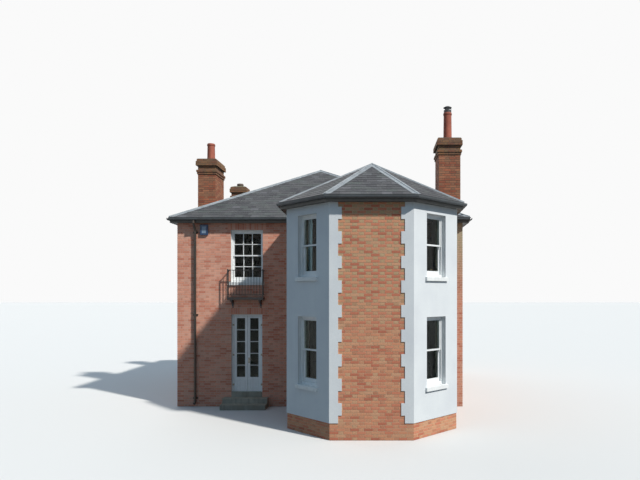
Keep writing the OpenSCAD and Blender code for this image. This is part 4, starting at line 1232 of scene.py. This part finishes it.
leads = []
for name, (x0, y0, x1, y1, top) in stacks.items():
    faces = faces_round(x0, y0, x1, y1, PROUD)
    for side, before in zip(faces, faces[-1:] + faces):
        count = round(side.length / STEP_LOOK)
        look = side.length / count
        out = -side.inward.to_2d()
        spots = [(side.start + side.along * (k + 0.5) * look).to_2d() + out * JUST_OUTSIDE
                 for k in range(count)]
        heights = [roof_height(*spot) for spot in spots]
        # upstand: its top lies in the first joint that is far enough above the slates
        joint = top - BED / 2
        tops = [joint - math.floor((joint - h - UPSTAND) / COURSE) * COURSE for h in heights]
        for a, b in runs_of(tops):
            foot = min(heights[a:b]) - LEAD_OVERLAP
            leads.append(place_in(side.matrix, a * look - LEAD_THICK, -LEAD_THICK, foot,
                                  (b - a) * look + 2 * LEAD_THICK, LEAD_THICK, tops[a] - foot))
        # strips over the slates, narrow where another slope begins close by
        kinds = [(slope_at(*s), slope_at(*(s + out * APRON)) is slope_at(*s)) for s in spots]
        for a, b in runs_of(kinds):
            slope, wide = kinds[a]
            leads.append(lead_patch(slope, (side.start + side.along * a * look).to_2d(),
                                    side.along.to_2d() * (b - a) * look, out * (APRON if wide else NARROW)))
        # the square at the corner between this face and the one before
        corner = side.start.to_2d()
        other = -before.inward.to_2d()
        slope = slope_at(*(corner + (out + other) * JUST_OUTSIDE))
        if slope_at(*(corner + (out + other) * APRON)) is slope:
            leads.append(lead_patch(slope, corner, out * APRON, other * APRON))
copies("chimney_leads", lead_strip, leads, lead)

# %% [markdown]
# Valleys
#
# Where the wing's roof runs into the main one, two valleys carry the rain down, and each is lined with
# lead that shows as a pale strip between the cut slates. One folded sheet would need its own mesh. Two
# flat sheets that meet in the valley look the same, and use the piece that is already there.

# %% Lead in the valleys
VALLEY_HALF, LINER_LIFT = 0.12, 0.0005
liners = []


def on_slope(slope, x, y):
    """u and v of a place in a slope's frame."""
    spot = np.array([x, y, slope.height(x, y)]) - slope.matrix[:3, 3]
    return (slope.matrix[:3, :3].T @ spot)[:2]


for foot_corner, wing_slope in ((VL, "wing_left"), (VR, "wing_right")):
    for slope_name in ("main_front", wing_slope):
        slope = SLOPES[slope_name]
        a, b = on_slope(slope, *foot_corner), on_slope(slope, *meet)
        run = np.array([b[0] - a[0], b[1] - a[1], 0])
        across = np.array([-run[1], run[0], 0]) / np.linalg.norm(run) * VALLEY_HALF
        # towards the slope's own side of the valley
        inner = on_slope(slope, *((slope.point + Vector((foot_corner.x, slope.point.y))) / 2))
        if np.dot(across[:2], inner - a) < 0:
            across = -across
        turned = slope.matrix[:3, :3]
        liners.append(matrix_of(turned @ run, turned @ across, turned[:, 2] * LEAD_THICK,
                                point_in(slope.matrix, a[0], a[1], LINER_LIFT)))
copies("valley_leads", lead_strip, liners, lead)

# %% [markdown]
# Glazing bars
#
# The main block's sashes are divided into small panes by slender bars, with a moulded edge outside that
# runs to a thin nose. A texture on the glass could draw them, but they would have no edge to catch the
# sun. So one bar is modelled a metre long, and copies of it are stretched over each pane of glass.

# %% Bars of the sashes
BAR_W, BAR_NOSE, BAR_OUT, BAR_IN = 0.03, 0.016, 0.016, 0.012
bar_piece = block("bar", (0, -BAR_OUT, -BAR_W / 2), (1, BAR_IN, BAR_W / 2))
with editing(bar_piece):
    pick_faces(bar_piece, lambda middle, normal: normal.y < -0.9)
    bpy.ops.transform.resize(value=(1, 1, BAR_NOSE / BAR_W))
bar = pattern(bar_piece)


def lying(side, u, y, z, length):
    """A bar along the side, from u."""
    return place_in(side.matrix, u, y, z, su=length)


def standing(side, u, y, z, length):
    """A bar that stands up from z."""
    return matrix_of((0, 0, length), side.inward, -side.along, point_in(side.matrix, u, y, z))


def glaze(part, columns, rows):
    """Divides each pane of a window node's glass into columns and rows."""
    places = []
    for solid in solids(part + "_glass"):
        side, low, high = side_of(solid)
        y = (low[1] + high[1]) / 2
        for i in range(1, columns):
            u = low[0] + (high[0] - low[0]) * i / columns
            places.append(standing(side, u, y, low[2], high[2] - low[2]))
        for j in range(1, rows):
            z = low[2] + (high[2] - low[2]) * j / rows
            places.append(lying(side, low[0], y, z, high[0] - low[0]))
    copies(part + "_bars", bar, places, window_paint)


for part in ("front_window", "side_window", "back_window"):
    glaze(part, 3, 2)

# %% [markdown]
# Sash horns
#
# The stiles of an upper sash run on below its bottom rail as two short horns, which keep that joint from
# opening. They could be cut into the stiles, but the sashes come from CAD, so a horn is a small piece of
# its own. It is thinner at its foot, and a pair of them hangs under each pane that has another just below
# it.

# %% Horns of the upper sashes
HORN_W, HORN_H, HORN_D, HORN_GAP, RAIL_H = 0.036, 0.055, 0.03, 0.002, 0.04
SASH_STEP = (0.2, 1.2)
horn_piece = block("horn", (0, -HORN_D / 2, -HORN_H), (1, HORN_D / 2, 0.004))
with editing(horn_piece):
    pick_faces(horn_piece, lambda middle, normal: normal.z < -0.9)
    bpy.ops.transform.resize(value=(1, 0.35, 1), center_override=(0.5, HORN_D / 2, -HORN_H))
horn = pattern(horn_piece)
places = []
for glass in ("front_window_glass", "side_window_glass", "back_window_glass", "wing_window_glass"):
    found = [side_of(solid) for solid in solids(glass)]
    for side, low, high in found:
        y = (low[1] + high[1]) / 2
        if any(other is side and abs(lower[0] - low[0]) < 0.05
               and SASH_STEP[0] < low[2] - lower[2] < SASH_STEP[1] for other, lower, _ in found):
            for u in (low[0] - HORN_W - HORN_GAP, high[0] + HORN_GAP):
                places.append(place_in(side.matrix, u, y, low[2] - RAIL_H, su=HORN_W))
copies("sash_horns", horn, places, window_paint)

# %% [markdown]
# The glazed doors
#
# Each leaf has five panes over a bottom panel with a raised moulding round it. A new profile could be
# swept round the panel, but the glazing bar has the right section, so it is used again. Each leaf is a
# body of its own, and its bars and moulding ride on it, so that they swing with it.

# %% Bars and panels of the doors
DOOR_PANES = 5
LEAF_FACE = 0.013
PANEL_FOOT, PANEL_HEAD = 0.1, 0.08
for leaf in ("left", "right"):
    low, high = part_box(leaf + "_door_glass")
    u0, u1, y = low.x - house_left, high.x - house_left, (low.y + high.y) / 2 - house_front
    places = [lying(front, u0, y, low.z + (high.z - low.z) * k / DOOR_PANES, u1 - u0)
              for k in range(1, DOOR_PANES)]
    z0, z1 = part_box(leaf + "_door_leaf")[0].z + PANEL_FOOT, low.z - PANEL_HEAD
    for z in (z0, z1):
        places.append(lying(front, u0, y - LEAF_FACE, z, u1 - u0))
    for u in (u0, u1):
        places.append(standing(front, u, y - LEAF_FACE, z0, z1 - z0))
    copies(leaf + "_door_bars", bar, places, window_paint, body=leaf + "_leaf")

# %% [markdown]
# The handle
#
# Only the right leaf has a handle: an upright plate, a neck and a lever across it. A lever could be bent
# from one bar, but at this size three plain parts, joined, look right. The plate's edges are bevelled to
# catch the light, and the lever is flattened a little, as a hand would want it.

# %% Handle of the doors
PLATE_W, PLATE_H, PLATE_T = 0.036, 0.18, 0.006
NECK_R, NECK_L, LEVER_R, LEVER_L = 0.009, 0.045, 0.008, 0.12
LEVER_UP, GRIP_Z = 0.04, 1.45
ACROSS, OUTWARD = (0, math.pi / 2, 0), (math.pi / 2, 0, 0)
grip_x, grip_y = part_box("right_door_leaf")[0].x + 0.04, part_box("right_door_glass")[0].y - 0.017
plate = block("door_handle", (grip_x - PLATE_W / 2, grip_y - PLATE_T, GRIP_Z - PLATE_H / 2),
              (grip_x + PLATE_W / 2, grip_y, GRIP_Z + PLATE_H / 2))
with editing(plate, "EDGE"):
    bpy.ops.mesh.select_all(action="SELECT")
    bpy.ops.mesh.bevel(offset=0.002, segments=2)
neck = tube(16, NECK_R, NECK_L, OUTWARD, (grip_x, grip_y - 0.0275, GRIP_Z + LEVER_UP))
lever = tube(16, LEVER_R, LEVER_L, ACROSS, (grip_x + 0.05, grip_y - NECK_L, GRIP_Z + LEVER_UP))
with editing(lever, "EDGE"):
    bpy.ops.mesh.select_all(action="SELECT")
    bpy.ops.transform.resize(value=(1, 0.8, 1))
bpy.ops.object.select_all(action="DESELECT")
for part in (plate, neck, lever):
    part.select_set(True)
bpy.context.view_layer.objects.active = plate
bpy.ops.object.join()
plate.data.materials.append(hinge_metal)
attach(plate, "right_leaf")
print("door handle with", len(plate.data.polygons), "faces")

# %% [markdown]
# Gutter brackets
#
# Iron straps hold the gutters to the fascia about every metre, and a wider one covers each joint. A strap
# is less than a half ring. It could be a bent bar, but it is simpler to take the wall of a cylinder, cut
# away its top and its lip with the bisect tool, and give what is left a thickness.

# %% Gutter straps
STRAP_W, STRAP_T, STRAP_EVERY, STRAP_CLEAR = 0.03, 0.004, 0.9, 0.0005
FROM_CORNER, JOINT_WIDER, LONG_SIDE = 0.25, 2.2, 3
LIP_ANGLE = math.radians(27)
GUTTER_R, UNDER_SLATES = 0.05, 0.03
gutter_mid = EAVES_R - UNDER_SLATES + GUTTER_R
gutter_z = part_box("gutters")[0].z + GUTTER_R
strap = tube(24, GUTTER_R + STRAP_CLEAR, STRAP_W, ACROSS, ends="NOTHING")
with editing(strap):
    # open above, and ending below the gutter's outer lip
    for cut in ((0, 0, 1), (0, -math.sin(LIP_ANGLE), math.cos(LIP_ANGLE))):
        bpy.ops.mesh.select_all(action="SELECT")
        bpy.ops.mesh.bisect(plane_co=(0, 0, 0.001), plane_no=cut, clear_outer=True)
thick = strap.modifiers.new("thickness", "SOLIDIFY")
thick.thickness, thick.offset = STRAP_T, 1
bpy.ops.object.modifier_apply(modifier="thickness")
strap = pattern(strap)
places = []
for side in SIDES.values():
    reach = side.length - 2 * FROM_CORNER
    count = max(1, round(reach / STRAP_EVERY))
    for k in range(count + 1):
        wide = JOINT_WIDER if k % 2 and side.length > LONG_SIDE else 1
        u = FROM_CORNER + reach * k / count
        places.append(place_in(side.matrix, u, -gutter_mid, gutter_z, su=wide))
copies("gutter_straps", strap, places, gutter_iron)

# %% [markdown]
# Alarm box
#
# High on the front hangs a small blue plastic cover with softened edges and a paler centre. The centre
# could be a second piece, but an inset on the front face gives its outline, and the same mesh can carry a
# second material there. It is pressed in a little, and left blank.

# %% Alarm cover
COVER_EDGE, CENTRE_INSET, CENTRE_DEEP = 0.012, 0.05, 0.004
cover = block("alarm_cover", *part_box("alarm_box"))
with editing(cover, "EDGE"):
    bpy.ops.mesh.select_all(action="SELECT")
    bpy.ops.mesh.bevel(offset=COVER_EDGE, segments=3)
# Both blues are darker than the plastic itself: the shadow that the eaves cast on the box is painted into
# them.
alarm_plastic = weathered("alarm_plastic", colour(34, 64, 102), colour(28, 54, 88), colour(56, 66, 78),
                          grain=60, grime_share=0.3, rough=(0.35, 0.55), bump=0.1, depth=0.001)
alarm_centre_with_painted_shade = weathered("alarm_centre_with_painted_shade", colour(140, 162, 182), colour(124, 146, 168), colour(96, 104, 110),
                         grain=60, grime_share=0.3, rough=(0.35, 0.55), bump=0.1, depth=0.001)
cover.data.materials.append(alarm_plastic)
cover.data.materials.append(alarm_centre_with_painted_shade)
with editing(cover):
    pick_faces(cover, lambda middle, normal: normal.y < -0.99)
    bpy.ops.mesh.inset(thickness=CENTRE_INSET)
    cover.active_material_index = 1
    bpy.ops.object.material_slot_assign()
    bpy.ops.transform.translate(value=(0, CENTRE_DEEP, 0))
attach(cover, "house")
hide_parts("alarm_box")
print("alarm cover with", len(cover.data.polygons), "faces")

# %% [markdown]
# Curtains
#
# Behind the upper window of the left oblique face hangs a pale curtain, and beside the lower window a
# narrow brown one. Each is gathered on a rod of its own and pushed to the left. Cloth could be simulated,
# but a gathered curtain hangs in regular folds, so a fine grid is bent by a wave in code instead, deeper
# towards its foot.

# %% Curtain rods
WALL_THICK, ROD_OUT, ROD_R = 0.33, 0.07, 0.011
PEG_R, PEG_IN = ROD_R * 0.7, 0.03
round_piece = tube(12, 1, 1, ACROSS, (0.5, 0, 0))
with editing(round_piece):
    # a pattern's faces all have as many corners
    bpy.ops.mesh.select_all(action="SELECT")
    bpy.ops.mesh.quads_convert_to_tris()
round_bar = pattern(round_piece)


def curtain_rod(name, side, u0, u1, z):
    """A rod on two pegs that stand out of the wall's inner face."""
    rod = place_in(side.matrix, u0, WALL_THICK + ROD_OUT, z, su=u1 - u0, sy=ROD_R, sz=ROD_R)
    pegs = [matrix_of(side.inward * ROD_OUT, -side.along * PEG_R, (0, 0, PEG_R),
                      point_in(side.matrix, u, WALL_THICK, z)) for u in (u0 + PEG_IN, u1 - PEG_IN)]
    return copies(name, round_bar, [rod] + pegs, hinge_metal)


facet = SIDES["left_facet"]
panes = sorted((low[2], high[2], low[0], high[0]) for side, low, high in windows if side is facet)
(lower_z0, lower_z1, pane_u0, pane_u1), (upper_z0, upper_z1, _, _) = panes
upper_rod = curtain_rod("upper_curtain_rod", facet, pane_u0 - 0.28, pane_u1 + 0.12, upper_z1 + 0.08)
lower_rod = curtain_rod("lower_curtain_rod", facet, pane_u0 - 0.23, pane_u1 + 0.12, lower_z1 + 0.08)
print("windows of the left oblique face from u =", round(pane_u0, 3), "to", round(pane_u1, 3))

# %% Cloth
def cloth_finish(name, pale, dark):
    """A woven cloth, whose threads run level."""
    made, tree, surface = new_material(name)
    place, marks = weather(tree, 400)
    weave = node(tree, "TexWave", {"Vector": place, "Scale": 250.0}, bands_direction="Z").outputs[1]
    base = stain(tree, pale, marks["Fine"], 0.4, dark)
    base = stain(tree, base, weave, 0.25, dark)
    tree.links.new(base, surface.inputs["Base Color"])
    surface.inputs["Roughness"].default_value = 0.9
    surface.inputs["Sheen Weight"].default_value = 0.2
    roughen(tree, surface, weave, 0.2, 0.0005)
    return made


# The pale cloth is tinted blue: the blue light that shade gets from a clear sky is painted into it.
pale_cloth_with_painted_blue_shade = cloth_finish("pale_cloth_with_painted_blue_shade", colour(206, 236, 252), colour(178, 210, 234))
brown_cloth = cloth_finish("brown_cloth", colour(104, 84, 64), colour(76, 60, 46))
print("pale and brown cloth ready")

# %% Hanging the curtains
FOLD, FOLD_DEEP, CLOTH_THICK = 0.095, 0.022, 0.002
OVER_ROD, UNDER_SILL = 0.095, 0.12


def curtain(name, side, u0, u1, z_top, z_foot, finish, tight):
    """A hung cloth from u0 to u1, in folds that are tight times closer than FOLD."""
    columns, rows = round((u1 - u0) / FOLD * tight * 10), 16
    bpy.ops.object.select_all(action="DESELECT")
    bpy.ops.mesh.primitive_grid_add(x_subdivisions=columns, y_subdivisions=rows, size=1)
    cloth = bpy.context.object
    cloth.name = name
    spots = np.array([v.co for v in cloth.data.vertices])
    s, t = spots[:, 0] + 0.5, spots[:, 1] + 0.5
    turns = (u1 - u0) / FOLD * tight
    wave = np.sin(s * turns * 2 * math.pi + 0.5 * np.sin(3 * s + 2 * t))
    deep = FOLD_DEEP * (0.75 + 0.25 * (1 - t) + 0.1 * np.sin(7 * s))
    local = np.stack([u0 + s * (u1 - u0), WALL_THICK + ROD_OUT + deep * wave,
                      z_foot + t * (z_top - z_foot)], 1)
    for vertex, spot in zip(cloth.data.vertices, local):
        vertex.co = point_in(side.matrix, *spot)
    thick = cloth.modifiers.new("thickness", "SOLIDIFY")
    thick.thickness, thick.offset = CLOTH_THICK, 0
    bpy.context.view_layer.objects.active = cloth
    bpy.ops.object.modifier_apply(modifier="thickness")
    bpy.ops.object.shade_smooth()
    cloth.data.materials.append(finish)
    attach(cloth, "house")


curtain("upper_curtain", facet, pane_u0 - 0.27, pane_u0 + 0.06, upper_z1 + OVER_ROD, upper_z0 - UNDER_SILL,
        pale_cloth_with_painted_blue_shade, 1.0)
curtain("lower_curtain", facet, pane_u0 - 0.17, pane_u0 - 0.02, lower_z1 + OVER_ROD, lower_z0 - UNDER_SILL,
        brown_cloth, 1.3)

# %% [markdown]
# Sizes
#
# The box round the visual model is printed, in metres.

# %% Write the sizes and finish
low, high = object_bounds()
print("visual box", [round(v, 3) for v in low], [round(v, 3) for v in high])
